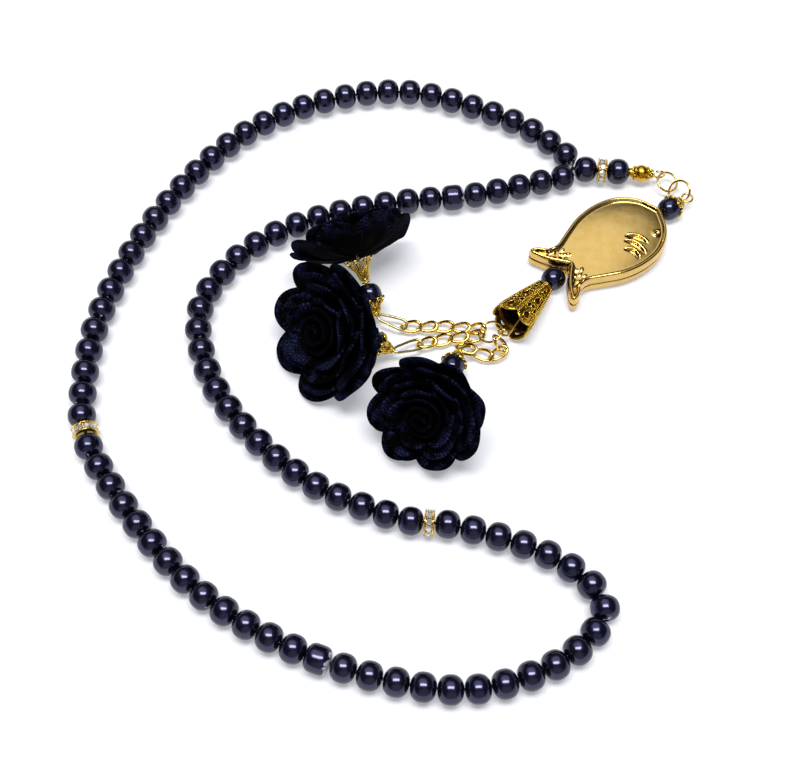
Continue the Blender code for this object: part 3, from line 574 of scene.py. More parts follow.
def copies(template, places, finish):
    """One mesh with a copy of a template mesh at each (matrix, tone)."""
    mesh = bpy.data.meshes.new("places")
    mesh.from_pydata([matrix.translation for matrix, _ in places], [], [])
    for name, field in (("turn", Matrix.to_euler), ("size", Matrix.to_scale)):
        layer = mesh.attributes.new(name, "FLOAT_VECTOR", "POINT")
        layer.data.foreach_set("vector", [value for matrix, _ in places for value in field(matrix)])
    mesh.attributes.new("tone", "FLOAT", "POINT").data.foreach_set("value", [tone for _, tone in places])
    holder = bpy.data.objects.new("template", template)
    bpy.context.scene.collection.objects.link(holder)
    made = evaluate(COPIES, mesh, {"Piece": holder, "Finish": finish})
    bpy.data.objects.remove(holder)
    return made


def wires(paths, radius, finish, sides=8):
    """Round wire along (points, closed) paths, as one mesh."""
    mesh = bpy.data.meshes.new("paths")
    points, edges = [], []
    for path, closed in paths:
        first = len(points)
        points += [tuple(point) for point in path]
        edges += [(i, i + 1) for i in range(first, len(points) - 1)]
        if closed:
            edges.append((len(points) - 1, first))
    mesh.from_pydata(points, edges, [])
    return evaluate(DRAWN_WIRE, mesh, {"Radius": radius, "Sides": sides, "Finish": finish})


def as_mesh(shape, name="part"):
    """A smooth mesh from a bmesh, which is freed."""
    mesh = bpy.data.meshes.new(name)
    shape.to_mesh(mesh)
    shape.free()
    mesh.shade_smooth()
    return mesh


def moved(mesh, matrix):
    """The mesh, moved."""
    mesh.transform(matrix)
    return mesh


def piece(name, parts, body, nodes):
    """Join (mesh, finish) parts into one piece that stands for its solids and rides on a body."""
    shape = bmesh.new()
    made = bpy.data.objects.new(name, bpy.data.meshes.new(name))
    for index, (part, finish) in enumerate(parts):
        first = len(shape.faces)
        shape.from_mesh(part)
        shape.faces.ensure_lookup_table()
        for face in shape.faces[first:]:
            face.material_index = index
        made.data.materials.append(finish)
        bpy.data.meshes.remove(part)
    shape.transform(Matrix.Scale(MM, 4) @ Matrix.Translation(SHIFT))
    shape.to_mesh(made.data)
    shape.free()
    bpy.context.scene.collection.objects.link(made)
    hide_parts(*nodes)
    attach(made, body)
    return made


def gold_wire(name, path, body, node, radius=WIRE / 2, finish=WIRE_GOLD):
    """A piece of round wire along one (points, closed) path."""
    piece(name, [(wires([path], radius, finish), finish)], body, [node])


def heading(degrees, rise=0.0):
    """The unit vector at an angle on the table, lifted by rise degrees."""
    turn, lift = math.radians(degrees), math.radians(rise)
    return Vector((math.cos(turn) * math.cos(lift), math.sin(turn) * math.cos(lift), math.sin(lift)))


def on_table(place, height=BEAD_RADIUS):
    """A point on the table plan, at a height."""
    return Vector((place[0], place[1], height))


def frame_along(origin, direction):
    """The frame at origin whose Z runs along direction."""
    return Matrix.Translation(origin) @ direction.to_track_quat("Z", "Y").to_matrix().to_4x4()


def frame_facing(origin, direction, towards):
    """The frame at origin with Z along direction and X as near to towards as it can be."""
    x = (towards - direction * towards.dot(direction)).normalized()
    turn = Matrix((x, direction.cross(x), direction)).transposed().to_4x4()
    return Matrix.Translation(origin) @ turn


def smooth_path(points, steps=12):
    """Points on a centripetal curve through the given points."""
    ends = [points[0] * 2 - points[1]] + points + [points[-1] * 2 - points[-2]]
    path = []
    for a, b, c, d in zip(ends, ends[1:], ends[2:], ends[3:]):
        t0 = 0.0
        t1 = t0 + math.sqrt((b - a).length)
        t2 = t1 + math.sqrt((c - b).length)
        t3 = t2 + math.sqrt((d - c).length)
        for i in range(steps):
            t = t1 + (t2 - t1) * i / steps
            ab = a.lerp(b, (t - t0) / (t1 - t0))
            bc = b.lerp(c, (t - t1) / (t2 - t1))
            cd = c.lerp(d, (t - t2) / (t3 - t2))
            abc = ab.lerp(bc, (t - t0) / (t2 - t0))
            bcd = bc.lerp(cd, (t - t1) / (t3 - t1))
            path.append(abc.lerp(bcd, (t - t1) / (t2 - t1)))
    path.append(points[-1].copy())
    return path


def walk(path, spacings):
    """Points set off along a path, each at its own straight distance from the one before."""
    found = [path[0].copy()]
    index = 0
    for spacing in spacings:
        here = found[-1]
        while index < len(path) - 2 and (path[index + 1] - here).length < spacing:
            index += 1
        start, end = path[index], path[index + 1]
        low, high = (0.0, 1.0) if index < len(path) - 2 else (0.0, 40.0)
        for _ in range(40):
            half = (low + high) / 2
            if (start.lerp(end, half) - here).length < spacing:
                low = half
            else:
                high = half
        found.append(start.lerp(end, low))
    return found


def lathe(profile, segments):
    """A mesh turned round Z from (radius, height) points listed down its outer side."""
    shape = bmesh.new()
    rows = []
    for radius, height in profile:
        turns = [2 * math.pi * j / segments for j in range(segments)]
        rows.append([shape.verts.new((radius * math.cos(t), radius * math.sin(t), height)) for t in turns])
    for upper, lower in zip(rows, rows[1:]):
        for j in range(segments):
            k = (j + 1) % segments
            shape.faces.new((upper[j], lower[j], lower[k], upper[k]))
    bmesh.ops.remove_doubles(shape, verts=shape.verts, dist=0.0005)
    return shape


def bead_mesh(half, bore, across=None, square=2.0):
    """A drilled bead with a small chamfer, half long each way; square over 2 fills it out to a barrel."""
    hole = bore / 2
    throat = hole * 0.9
    chamfer = 0.25
    across = across or half
    begin = math.asin(hole / across)
    profile = [(throat, 0.0), (throat, half * math.cos(begin) - chamfer)]
    for i in range(17):
        angle = begin + (math.pi - 2 * begin) * i / 16
        s, c = math.sin(angle), math.cos(angle)
        swell = (abs(s) ** square + abs(c) ** square) ** (-1 / square)
        profile.append((across * s * swell, half * c * swell))
    profile += [(throat, -profile[1][1]), (throat, 0.0)]
    shape = lathe(profile, 28)
    end = shape.verts.layers.float.new("end")
    for vert in shape.verts:
        share = vert.co.z / half
        vert[end] = share * BARREL_WEAR if square >= BARREL_SQUARE else abs(share) * ROUND_WEAR
    return as_mesh(shape)


def loop(centre, along, across, count=40):
    """A closed oval path whose half sizes are the lengths of along and across."""
    turns = [2 * math.pi * i / count for i in range(count)]
    return [centre + along * math.cos(t) + across * math.sin(t) for t in turns], True


def ring(centre, normal, radius):
    """A closed round path."""
    along = normal.orthogonal().normalized() * radius
    return loop(centre, along, normal.cross(along))


def eye(centre, out, side, radius, steps=30):
    """Points round an open wire eye that starts and ends on its inner side."""
    turns = [math.pi + 2 * math.pi * EYE_SHARE * i / steps for i in range(steps + 1)]
    return [centre + out * (radius * math.cos(a)) + side * (radius * math.sin(a)) for a in turns]


def granules(places, finish):
    """Soldered grains of (point, radius), each a small ball of few faces."""
    shape = bmesh.new()
    bmesh.ops.create_icosphere(shape, subdivisions=1, radius=1.0)
    grains = [(Matrix.Translation(point) @ Matrix.Scale(radius, 4), 0.0) for point, radius in places]
    return copies(as_mesh(shape), grains, finish)


def turned_surface(profile):
    """A function of turn and reach, from 0 to 1 along a (radius, height) profile, that gives a point."""
    line = smooth_path([Vector((r, z)) for r, z in profile], 8)
    lengths = np.concatenate([[0], np.cumsum([(b - a).length for a, b in zip(line, line[1:])])])
    lengths /= lengths[-1]

    def at(turn, reach):
        radius = float(np.interp(reach, lengths, [p.x for p in line]))
        height = float(np.interp(reach, lengths, [p.y for p in line]))
        return Vector((radius * math.cos(turn), radius * math.sin(turn), height))

    return at


def petal_wire(at, middle, half, start, end, count=28):
    """A closed teardrop on a turned surface, narrow at start and round at end."""
    path = []
    for i in range(count):
        t = 2 * math.pi * i / count
        swell = (1 - math.cos(t)) / 2
        path.append(at(middle + half * math.sin(t) * (0.3 + 0.7 * swell), start + (end - start) * swell))
    return path, True


def collar(at, reach, count=36):
    """A closed round path on a turned surface."""
    return [at(2 * math.pi * i / count, reach) for i in range(count)], True


def filigree(stout, fine, grains, where):
    """Stout and fine wire and soldered grains, as parts in their place."""
    parts = [wires(stout, STOUT_WIRE, FILIGREE_GOLD, 7), wires(fine, FINE_WIRE, FILIGREE_GOLD, 6)]
    parts.append(granules(grains, FILIGREE_GOLD))
    return [(moved(part, where), FILIGREE_GOLD) for part in parts]


def filigree_cup(profile, lobes, where):
    """A cup of looped wire petals on a turned surface, with a collar at its narrow end and grains between."""
    at = turned_surface(profile)
    outer, inner, grains = [collar(at, 0.02), collar(at, 0.14)], [], []
    step = math.pi / lobes
    for i in range(lobes):
        middle = 2 * step * i
        outer.append(petal_wire(at, middle, step * 1.02, 0.1, 0.98))
        inner.append(petal_wire(at, middle, step * 0.55, 0.4, 0.86))
        inner.append(petal_wire(at, middle + step, step * 0.36, 0.14, 0.42))
        grains += [(at(middle, 0.97), 0.3), (at(middle + step, 0.5), 0.3), (at(middle, 0.26), 0.26)]
    return filigree(outer, inner, grains, where)


def cap_length(radius, reach=CAP_REACH):
    """How far a bead's cap reaches from the middle of the bead."""
    return (radius + GAP + CAP_WALL) * CAP_DOME + reach


def bead_cap(centre, direction, radius, reach=CAP_REACH, hole=WIRE / 2 + GAP, lobes=CUP_PETALS, skirt=0.3):
    """A filigree cup over one end of a round bead; skirt says how near its lip comes to the bead's middle."""
    lip = radius + GAP + CAP_WALL
    top = cap_length(radius, reach)
    profile = [(hole + 0.2, top), (lip * 0.4 + 0.2, lip * 1.1 + 0.2)]
    for share in np.linspace(0.9, skirt, 4):
        profile.append((lip * math.sqrt(1 - share * share) + 0.25, lip * share))
    return filigree_cup(profile, lobes, frame_along(centre, direction))


def calyx(centre, direction, start, length):
    """A filigree bell that opens towards the back of a rose."""
    neck = WIRE / 2 + GAP
    mouth = min(5.2, 3.4 + length * 0.2)
    profile = [(neck + 0.7, start), (neck + 1.2, start + length * 0.4), (mouth * 0.7, start + length * 0.75)]
    profile += [(mouth, start + length)]
    return filigree_cup(profile, CUP_PETALS, frame_along(centre, direction))


def stone():
    """A round cut stone on Z: table, crown facets and girdle."""
    shape = lathe([(0.0, 0.42), (0.5, 0.42), (0.86, 0.18), (0.9, 0.0), (0.5, -0.4), (0.0, -0.4)], 8)
    mesh = as_mesh(shape)
    mesh.shade_flat()
    return mesh


def rondelle(name, centre, along):
    """Two milled gold flanges with a row of cut stones in claws between them."""
    where = frame_along(centre, along)
    half = RONDELLE_WIDTH / 2
    flange = [(radius, half - depth) for radius, depth in FLANGE]
    profile = flange + [(HUB_RADIUS, HUB_HALF), (HUB_RADIUS, -HUB_HALF)]
    profile += [(radius, -z) for radius, z in reversed(flange)] + flange[:1]
    metal = [(moved(as_mesh(lathe(profile, 40)), where), WIRE_GOLD)]
    stones, grains = [], []
    for i in range(STONES):
        turn = 2 * math.pi * i / STONES
        out = Vector((math.cos(turn), math.sin(turn), 0))
        seat = frame_along(out * STONE_SEAT, out) @ Matrix.Scale(STONE_SIZE, 4)
        stones.append((where @ seat, random.random()))
        claw = turn + math.pi / STONES
        for z in (-CLAW_SIDE, CLAW_SIDE):
            grains.append((Vector((CLAW_SEAT * math.cos(claw), CLAW_SEAT * math.sin(claw), z)), CLAW_GRAIN))
    for i in range(MILLED_GRAINS):
        turn = 2 * math.pi * i / MILLED_GRAINS
        for z in (half - MILLED_DEPTH, MILLED_DEPTH - half):
            seat = Vector((MILLED_SEAT * math.cos(turn), MILLED_SEAT * math.sin(turn), z))
            grains.append((seat, MILLED_GRAIN))
    metal.append((moved(granules(grains, WIRE_GOLD), where), WIRE_GOLD))
    piece(f"{name}_setting", metal, name, [f"{name}_frame"])
    piece(f"{name}_stones", [(copies(stone(), stones, GLASS), GLASS)], name, [f"{name}_crystals"])


def fish_outline():
    """The fish's edge from its tail notch round to its nose and back, in its own axes from the tail bead."""
    inner = smooth_path([Vector(p) for p in FISH_NOTCH], 10)
    back = [Vector(p) for p in FISH_FIN]
    back += [Vector((along * FISH_NOSE, across * FISH_WIDE)) for along, across in FISH_BODY]
    half = inner[:-1] + smooth_path(back, 10)
    points = np.array([(p.x, p.y) for p in half] + [(p.x, -p.y) for p in half[-2:0:-1]])
    # Rounds the tips of the tail
    for _ in range(2):
        points = (np.roll(points, 1, 0) + points * 2 + np.roll(points, -1, 0)) / 4
    return points


def edge_distance(points, edge):
    """How far each point is from a closed edge."""
    start, end = edge, np.roll(edge, -1, 0)
    run = end - start
    best = np.full(len(points), 1e9)
    for a, d in zip(start, run):
        t = np.clip(((points - a) @ d) / max(d @ d, 1e-9), 0, 1)
        best = np.minimum(best, np.hypot(*(points - a - t[:, None] * d).T))
    return best


def inside(points, edge):
    """Which points lie inside a closed edge."""
    result = np.zeros(len(points), bool)
    for (ax, ay), (bx, by) in zip(edge, np.roll(edge, -1, 0)):
        if ay == by:
            continue
        crosses = (ay > points[:, 1]) != (by > points[:, 1])
        result ^= crosses & (points[:, 0] < (bx - ax) * (points[:, 1] - ay) / (by - ay) + ax)
    return result


def fish_edge(depth):
    """The height of the fish's rounded edge, by how far a point is from the outline."""
    share = np.clip(depth / FISH_BEVEL, 0, 1)
    return FISH_SEAM + (FISH_HALF - FISH_SEAM) * np.sqrt(1 - (1 - share) ** 2)


def leaning(x, y, cx, cy, lean):
    """Points as distances along and across a line through (cx, cy) that leans by degrees."""
    turn = math.radians(lean)
    along = (x - cx) * math.cos(turn) + (y - cy) * math.sin(turn)
    return along, (y - cy) * math.cos(turn) - (x - cx) * math.sin(turn)


def fish_relief(points, depth):
    """The height of the fish's face: a bright rim, a sunk and domed face, gills, an eye and tail strokes."""
    fall = np.clip((depth - FISH_BEVEL - FISH_RIM) / FISH_SLOPE, 0, 1)
    height = fish_edge(depth) - FISH_RECESS * fall * fall * (3 - 2 * fall)
    x, y = points.T
    spread = ((x - FISH_MIDDLE) / FISH_DOME_REACH) ** 2 + (y / FISH_WIDE) ** 2
    height += FISH_DOME * np.clip(1 - spread, 0, None) * fall
    # Each gill is a bowed pocket with a raised lip
    for cx, cy, half, lean in FISH_GILLS:
        along, across = leaning(x, y, cx, cy, lean)
        share = along / half
        across = across - 1.1 * (1 - share ** 2)
        room = np.clip(1 - share ** 2, 0, None)
        pocket = room - ((across + 0.75) / 0.8) ** 2
        height -= np.where(pocket > 0, 0.85 * np.sqrt(np.clip(pocket, 0, None)), 0)
        height += 0.5 * room * np.exp(-((across - 0.1) / 0.3) ** 2)
    # The eye is a raised oval ring
    around = np.hypot((x - FISH_EYE[0]) / 1.25, y - FISH_EYE[1])
    height += 0.5 * np.exp(-((around - 0.85) / 0.3) ** 2)
    for side in (1, -1):
        for cx, cy, lean in TAIL_STROKES:
            along, across = leaning(x, y, cx, cy * side, lean * side)
            height += 0.55 * np.exp(-(along / 0.75) ** 2 - (across / 0.32) ** 2)
    return height


def fish(where):
    """The hollow-cast fish: two dished halves with a parting groove between them."""
    edge = fish_outline()
    count = len(edge)
    tangent = np.roll(edge, -1, 0) - np.roll(edge, 1, 0)
    normal = np.stack([-tangent[:, 1], tangent[:, 0]], 1) / np.hypot(*tangent.T)[:, None]
    if inside(edge[:1] + normal[:1] * 0.2, edge)[0]:
        normal = -normal
    cloud = [edge]
    for depth in FISH_ROWS:
        row = edge - normal * depth
        cloud.append(row[(edge_distance(row, edge) > depth * 0.985) & inside(row, edge)])
    low, high = edge.min(0), edge.max(0)
    grid = np.meshgrid(np.arange(low[0], high[0], FISH_GRID), np.arange(low[1], high[1], FISH_GRID))
    grid = np.stack(grid, -1).reshape(-1, 2)
    grid = grid[inside(grid, edge)]
    cloud.append(grid[edge_distance(grid, edge) > FISH_GRID_DEPTH])
    points = np.concatenate(cloud)
    rim = [(i, (i + 1) % count) for i in range(count)]
    flat, _, faces, origin, _, _ = geometry.delaunay_2d_cdt([Vector(p) for p in points], rim, [], 1, 0.0001)
    flat_points = np.array([tuple(p) for p in flat])
    depth = edge_distance(flat_points, edge)
    depth[depth < 0.005] = 0.0
    on_edge = {source: i for i, sources in enumerate(origin) for source in sources if source < count}
    shape = bmesh.new()
    upper = [shape.verts.new((*p, z)) for p, z in zip(flat_points, fish_relief(flat_points, depth))]
    lower = [shape.verts.new((*p, -z)) for p, z in zip(flat_points, fish_edge(depth))]
    for a, b, c in faces:
        shape.faces.new((upper[a], upper[b], upper[c]))
        shape.faces.new((lower[c], lower[b], lower[a]))
    rows = [[upper[on_edge[i]] for i in range(count)]]
    for out, z in FISH_WALL:
        rows.append([shape.verts.new((*(edge[i] + normal[i] * out), z)) for i in range(count)])
    rows.append([lower[on_edge[i]] for i in range(count)])
    for above, below in zip(rows, rows[1:]):
        for i in range(count):
            k = (i + 1) % count
            shape.faces.new((above[i], above[k], below[k], below[i]))
    bmesh.ops.recalc_face_normals(shape, faces=shape.faces)
    return [(moved(as_mesh(shape), where), CAST_GOLD)]


def cone_radius(height):
    """The outer radius of the cone's sheet at a height from its tip."""
    return float(np.interp(height, CONE_HEIGHTS, CONE_RADII))


def hole_rim(u, v, half_u, half_v, count=12):
    """The rim of a pear-shaped hole in a panel of the cone."""
    rim = []
    for k in range(count):
        t = 2 * math.pi * k / count
        width = half_u * math.sin(t) * (0.55 + 0.45 * (1 - math.cos(t)) / 2) * 1.2
        rim.append((u + width, v - half_v * math.cos(t)))
    return rim


def lip(u):
    """Where the pointed lip of a panel ends, u half widths from its middle."""
    return LIP_FOOT + LIP_REACH * math.cos(u * math.pi / 2) ** 0.8


def pierced_panel(rims):
    """A flat panel with its holes cut out: its points, and the faces that are kept."""
    sides = [(-1, v / 12 * LIP_FOOT) for v in range(13)] + [(u / 5, lip(u / 5)) for u in range(-4, 5)]
    sides += [(1, v / 12 * LIP_FOOT) for v in range(12, -1, -1)] + [(u / 3, 0) for u in (2, 1, 0, -1, -2)]
    points, edges = [], []
    for outline in [sides] + rims:
        first, count = len(points), len(outline)
        points += [Vector(p) for p in outline]
        edges += [(first + k, first + (k + 1) % count) for k in range(count)]
    flat, _, faces, _, _, _ = geometry.delaunay_2d_cdt(points, edges, [], 1, 0.00001)
    centres = np.array([tuple(sum((flat[i] for i in face), Vector((0, 0))) / len(face)) for face in faces])
    keep = np.ones(len(faces), bool)
    for rim in rims:
        keep &= ~inside(centres, np.array(rim))
    return flat, [face for face, kept in zip(faces, keep) if kept]


def cone(where):
    """A filigree cone of pierced panels, with grained ribs, scrolls, pointed lips and a dark brown sheet
    inside that is painted shade.
    """
    step = math.pi / CONE_PANELS

    def at(turn, v, lift=0.0):
        z = v * CONE_LENGTH
        off_rib = (turn / step - round(turn / (2 * step)) * 2) * math.pi
        swell = 1 - CONE_WAIST * (1 - math.cos(off_rib)) / 2
        r = cone_radius(z) * swell + lift
        return Vector((r * math.cos(turn), r * math.sin(turn), z))

    rims = [hole_rim(*hole) for hole in CONE_HOLES]
    flat, faces = pierced_panel(rims)
    shape = bmesh.new()
    scrolls, ribs, grains = [], [], []
    for i in range(CONE_PANELS):
        middle = 2 * step * (i + 0.5)
        verts = [shape.verts.new(at(middle + p.x * step, p.y, -0.2)) for p in flat]
        for face in faces:
            shape.faces.new([verts[k] for k in face])
        for rim in rims:
            scrolls.append(([at(middle + u * step, v, 0.02) for u, v in rim], True))
        ribs.append(([at(middle + u / 12 * step, lip(u / 12), 0.0) for u in range(-12, 13)], False))
        ribs.append(([at(middle + step, 0.03 + v / 24 * 0.86, 0.15) for v in range(25)], False))
        # Rows of grains beside the ribs, a finer row inside the lip, and single grains between the holes
        for k in range(21):
            for side in (-0.82, 0.82):
                grains.append((at(middle + side * step, 0.04 + k / 20 * 0.84, 0.15), 0.35))
        for k in range(11):
            u = -0.85 + 1.7 * k / 10
            grains.append((at(middle + u * step, lip(u) - 0.025, 0.1), 0.22))
        for u, v in CONE_GRAINS:
            grains.append((at(middle + u * step, v, 0.1), 0.32))
    for reach in (0.015, 0.05):
        ribs.append(([at(2 * math.pi * i / 48, reach, 0.02) for i in range(48)], True))
    bmesh.ops.remove_doubles(shape, verts=shape.verts, dist=0.01)
    bmesh.ops.recalc_face_normals(shape, faces=shape.faces)
    bmesh.ops.solidify(shape, geom=shape.faces[:], thickness=CONE_SHEET)
    bmesh.ops.recalc_face_normals(shape, faces=shape.faces)
    sheet = as_mesh(shape)
    sheet.shade_flat()
    tip = as_mesh(lathe(CONE_TIP, 32))
    # A dark brown sheet just inside the panels paints the shade in the cone
    shade_sheet = [(cone_radius(z) * 0.962 - 0.65, z) for z in np.linspace(SHADE_MOUTH, SHADE_FOOT, 10)]
    shade_sheet += [(r - 0.12, z) for r, z in reversed(shade_sheet)] + shade_sheet[:1]
    parts = [(sheet, BRASS), (as_mesh(lathe(shade_sheet, 36)), CONE_SHADE), (tip, FILIGREE_GOLD)]
    return [(moved(part, where), finish) for part, finish in parts] + filigree(ribs, scrolls, grains, where)


def cloth_grid(node, columns, rows):
    """A grid of cloth; node gives each point's place, how near the rim it is for the velvet's painted sheen,
    and its place on the flat cloth.
    """
    shape = bmesh.new()
    cloth = shape.loops.layers.uv.new("cloth")
    edge = shape.verts.layers.float.new("edge")
    grid, flat = [], {}
    for j in range(rows + 1):
        row = []
        for i in range(columns + 1):
            place, rim_sheen_share, spread = node(i / columns, j / rows)
            vert = shape.verts.new(place)
            vert[edge] = rim_sheen_share
            flat[vert] = spread
            row.append(vert)
        grid.append(row)
    for lower, upper in zip(grid, grid[1:]):
        for i in range(columns):
            face = shape.faces.new((lower[i], lower[i + 1], upper[i + 1], upper[i]))
            for corner in face.loops:
                corner[cloth].uv = flat[corner.vert]
    return shape


def petal(radius, hub, rim, middle, half, seed):
    """One cloth petal of a layer: dished from the hub, lobed at the rim, cupped, its edge turned back."""
    spread = 1.02 + 0.07 * noise.noise(Vector((seed * 1.7, 0.4, seed * 0.3)))

    def node(across, v):
        u = -1 + 2 * across
        tip = radius * spread * (1 - 0.22 * abs(u) ** 2.4)
        r = 1.0 + (tip - 1.0) * v
        share = r / radius
        z = hub + (rim - hub) * share ** PETAL_CURVE
        slope = (rim - hub) * PETAL_CURVE * share ** (PETAL_CURVE - 1) / radius
        back = Vector((slope, -1)).normalized()
        wobble = noise.noise(Vector((u * 1.3 + seed * 3.1, v * 2.0, seed))) * 1.3 * v
        lift = 0.45 + PETAL_OVERLAP * u * v ** 0.5 + wobble - 0.5 * (1 - u * u) * v
        curl = max(0.0, (v - 0.8) / 0.2) ** 2
        r += back.x * lift + 0.75 * curl
        z += back.y * lift - 0.9 * curl
        turn = middle + half * u + 0.02 * wobble
        place = (r * math.cos(turn), r * math.sin(turn), z)
        # The second value is how near the rim the point is, which the velvet paints sheen by
        return place, max(v, abs(u) ** 3 * v), (u * half * r, v * radius)

    return cloth_grid(node, 12, 13)


def bud_petal(radius, low, high, start, sweep, seed):
    """One rolled petal of the rose's heart."""

    def node(u, v):
        turn = start + sweep * u
        curl = max(0.0, (v - 0.75) / 0.25) ** 2
        r = radius * (0.62 + 0.3 * v + 0.14 * u) + curl * 0.8
        top = high - 0.9 * (2 * u - 1) ** 4 - curl * 0.5
        z = low + (top - low) * v + 0.25 * noise.noise(Vector((u * 3 + seed, v * 2, seed)))
        # The heart's painted rim sheen is kept faint, at three quarters
        return (r * math.cos(turn), r * math.sin(turn), z), v * 0.75, (u * radius * sweep, v * (high - low))

    return cloth_grid(node, 14, 8)


def cloth_piece(name, petals, where, body, node):
    """Petals as thick soft cloth: joined, given the ribbon's thickness and smoothed."""
    shape = bmesh.new()
    area = 0.0
    for part in petals:
        area += sum(face.calc_area() for face in part.faces)
        shape.from_mesh(as_mesh(part))
    cloth = moved(as_mesh(shape), where)
    for vert in cloth.vertices:
        if vert.co.z < PETAL_REST:
            vert.co.z = PETAL_REST - (PETAL_REST - vert.co.z) * PETAL_REST_GIVE
    made = piece(name, [(cloth, VELVET)], body, [node])
    wall = made.modifiers.new("cloth", "SOLIDIFY")
    wall.thickness = VELVET_THICKNESS * MM
    wall.offset = 0.0
    soft = made.modifiers.new("soft", "SUBSURF")
    soft.levels = soft.render_levels = 1


def rose(number, place, bead, hook):
    """A rose of velvet petals on a bent wire pin, with a pearl bead between filigree caps."""
    label = f"rose_{number}"
    stem, faces = heading(*place["stem"]), heading(*place["faces"])
    bend = bead + stem * place["reach"]
    back = bend + faces * (PETAL_WALL + 0.2)
    where = frame_along(back, faces)
    radius = place["size"] / 2
    step = PETAL_WALL + GAP
    key = 0
    for layer, rows in PETAL_LAYERS.items():
        petals = []
        for count, share, hub, rim, turn in rows:
            key += 1
            half = math.pi / count * PETAL_LAP
            height = (ROSE_DEPTH + rim) * place["depth"]
            for k in range(count):
                middle = math.radians(turn) + 2 * math.pi * (k + 0.5) / count
                seed = number * 37 + key * 11 + k
                petals.append(petal(radius * share, step * hub, height, middle, half, seed))
        cloth_piece(f"{label}_{layer}_cloth", petals, where, label, f"{label}_{layer}_petals")
    bud = []
    for k in range(BUD_PETALS):
        size = radius * (0.06 + 0.045 * k)
        height = (ROSE_DEPTH + 5.6 - 0.35 * k) * place["depth"]
        bud.append(bud_petal(size, step * 3, height, 2.1 * k, 2.6, number * 5 + k))
    cloth_piece(f"{label}_heart_cloth", bud, where, label, f"{label}_heart")
    cap_end = bead - stem * (cap_length(BEAD_RADIUS) + 0.2)
    piece(f"{label}_filigree_cap", bead_cap(bead, -stem, BEAD_RADIUS), label, [f"{label}_cap"])
    bell = calyx(bead, stem, BEAD_RADIUS + GAP, place["reach"] - BEAD_RADIUS - GAP - 0.6)
    piece(f"{label}_filigree_bell", bell, label, [f"{label}_calyx"])
    reach = hook - cap_end
    side = UP.cross(reach).normalized() * PIN_BOW
    bends = PIN_BENDS + [(along, -across) for along, across in reversed(PIN_BENDS)] + [(0, 0)]
    bow = smooth_path([cap_end] + [cap_end + reach * along + side * across for along, across in bends], 6)
    path = [back + faces * (step * 3 + 2.4), bend, bead] + bow
    gold_wire(f"{label}_wire", (path, False), label, f"{label}_pin", PIN_WIRE, PIN_GOLD)
    pearl(f"{label}_bead", bead, stem)


def chain(name, catch, route, count):
    """A curb chain of twisted oval links from a ring along a route; returns where its end is caught."""
    reach = LINK_LENGTH - LINK_WIRE
    level = on_table(catch, 0)
    first = (on_table(route[0], 0) - level).normalized()
    path = smooth_path([level - first * 1.6] + [on_table(p, 0) for p in route])
    hooks = walk(path, [reach - LINK_WIRE + 0.2] * count)
    along = (hooks[-1] - hooks[-2]).normalized()
    rise = math.sin(math.radians(LINK_LEAN)) * (LINK_WIDTH - LINK_WIRE) / 2 + LINK_WIRE / 2 + 0.05
    hook = hooks[-2] + along * (reach - LINK_WIRE / 2 - WIRE / 2 - 2 * GAP) + UP * rise
    between = [p + UP * CURB_HEIGHT for p in hooks[1:-1]]
    spine = smooth_path([catch - first * 1.2] + between + [hook + along * 1.2])
    length = sum((b - a).length for a, b in zip(spine, spine[1:]))
    links = round(length / CURB_PITCH)
    joints = walk(spine, [length / links * 0.996] * links)
    places = []
    for i, (start, after) in enumerate(zip(joints, joints[1:])):
        along = (after - start).normalized()
        side = UP.cross(along).normalized()
        along = Matrix.Rotation(math.radians(CURB_PITCHED), 3, side) @ along
        lean = math.radians(CURB_TILT if i % 2 else -CURB_TILT)
        across = side * math.cos(lean) + along.cross(side).normalized() * math.sin(lean)
        places.append((frame_facing((start + after) / 2, along.cross(across).normalized(), along), 0.0))
    half = (length / links + 2 * CURB_WIRE) / 2
    oval = []
    for i in range(CURB_POINTS):
        t = 2 * math.pi * i / CURB_POINTS
        oval.append(Vector((half * math.cos(t), CURB_HALF_WIDTH * math.sin(t), CURB_TWIST * math.sin(2 * t))))
    link = wires([(oval, True)], CURB_WIRE, WIRE_GOLD)
    piece(f"{name}_links", [(copies(link, places, WIRE_GOLD), WIRE_GOLD)], name, [name])
    return hook


def pearl(name, centre, axis, across=BEAD_RADIUS):
    """A single pearl bead that turns on its own axis."""
    places = [(frame_along(centre, axis), random.random())]
    bead = bead_mesh(BEAD_RADIUS, BEAD_BORE, across, BEAD_SQUARE)
    piece(f"{name}_pearl", [(copies(bead, places, PEARL), PEARL)], name, [name])


# The solids' place: how far the settled string is from the plan that it was laid out on
low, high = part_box("fish_tail_bead")
SHIFT = (Vector(low) + Vector(high)) / 2 / MM - on_table(FISH_TAIL_BEAD)

# The camera stands in front of the table and looks down at it
camera_data = bpy.data.cameras.new("camera")
camera_data.sensor_width = 36.0
camera_data.lens = CAMERA_LENS
camera = bpy.data.objects.new("camera", camera_data)
camera.location = (Vector(CAMERA_PLACE) + Vector((SHIFT.x, SHIFT.y, 0))) * MM
camera.rotation_euler = (math.radians(CAMERA_TILT), 0, 0)
bpy.context.scene.collection.objects.link(camera)
bpy.context.scene.camera = camera

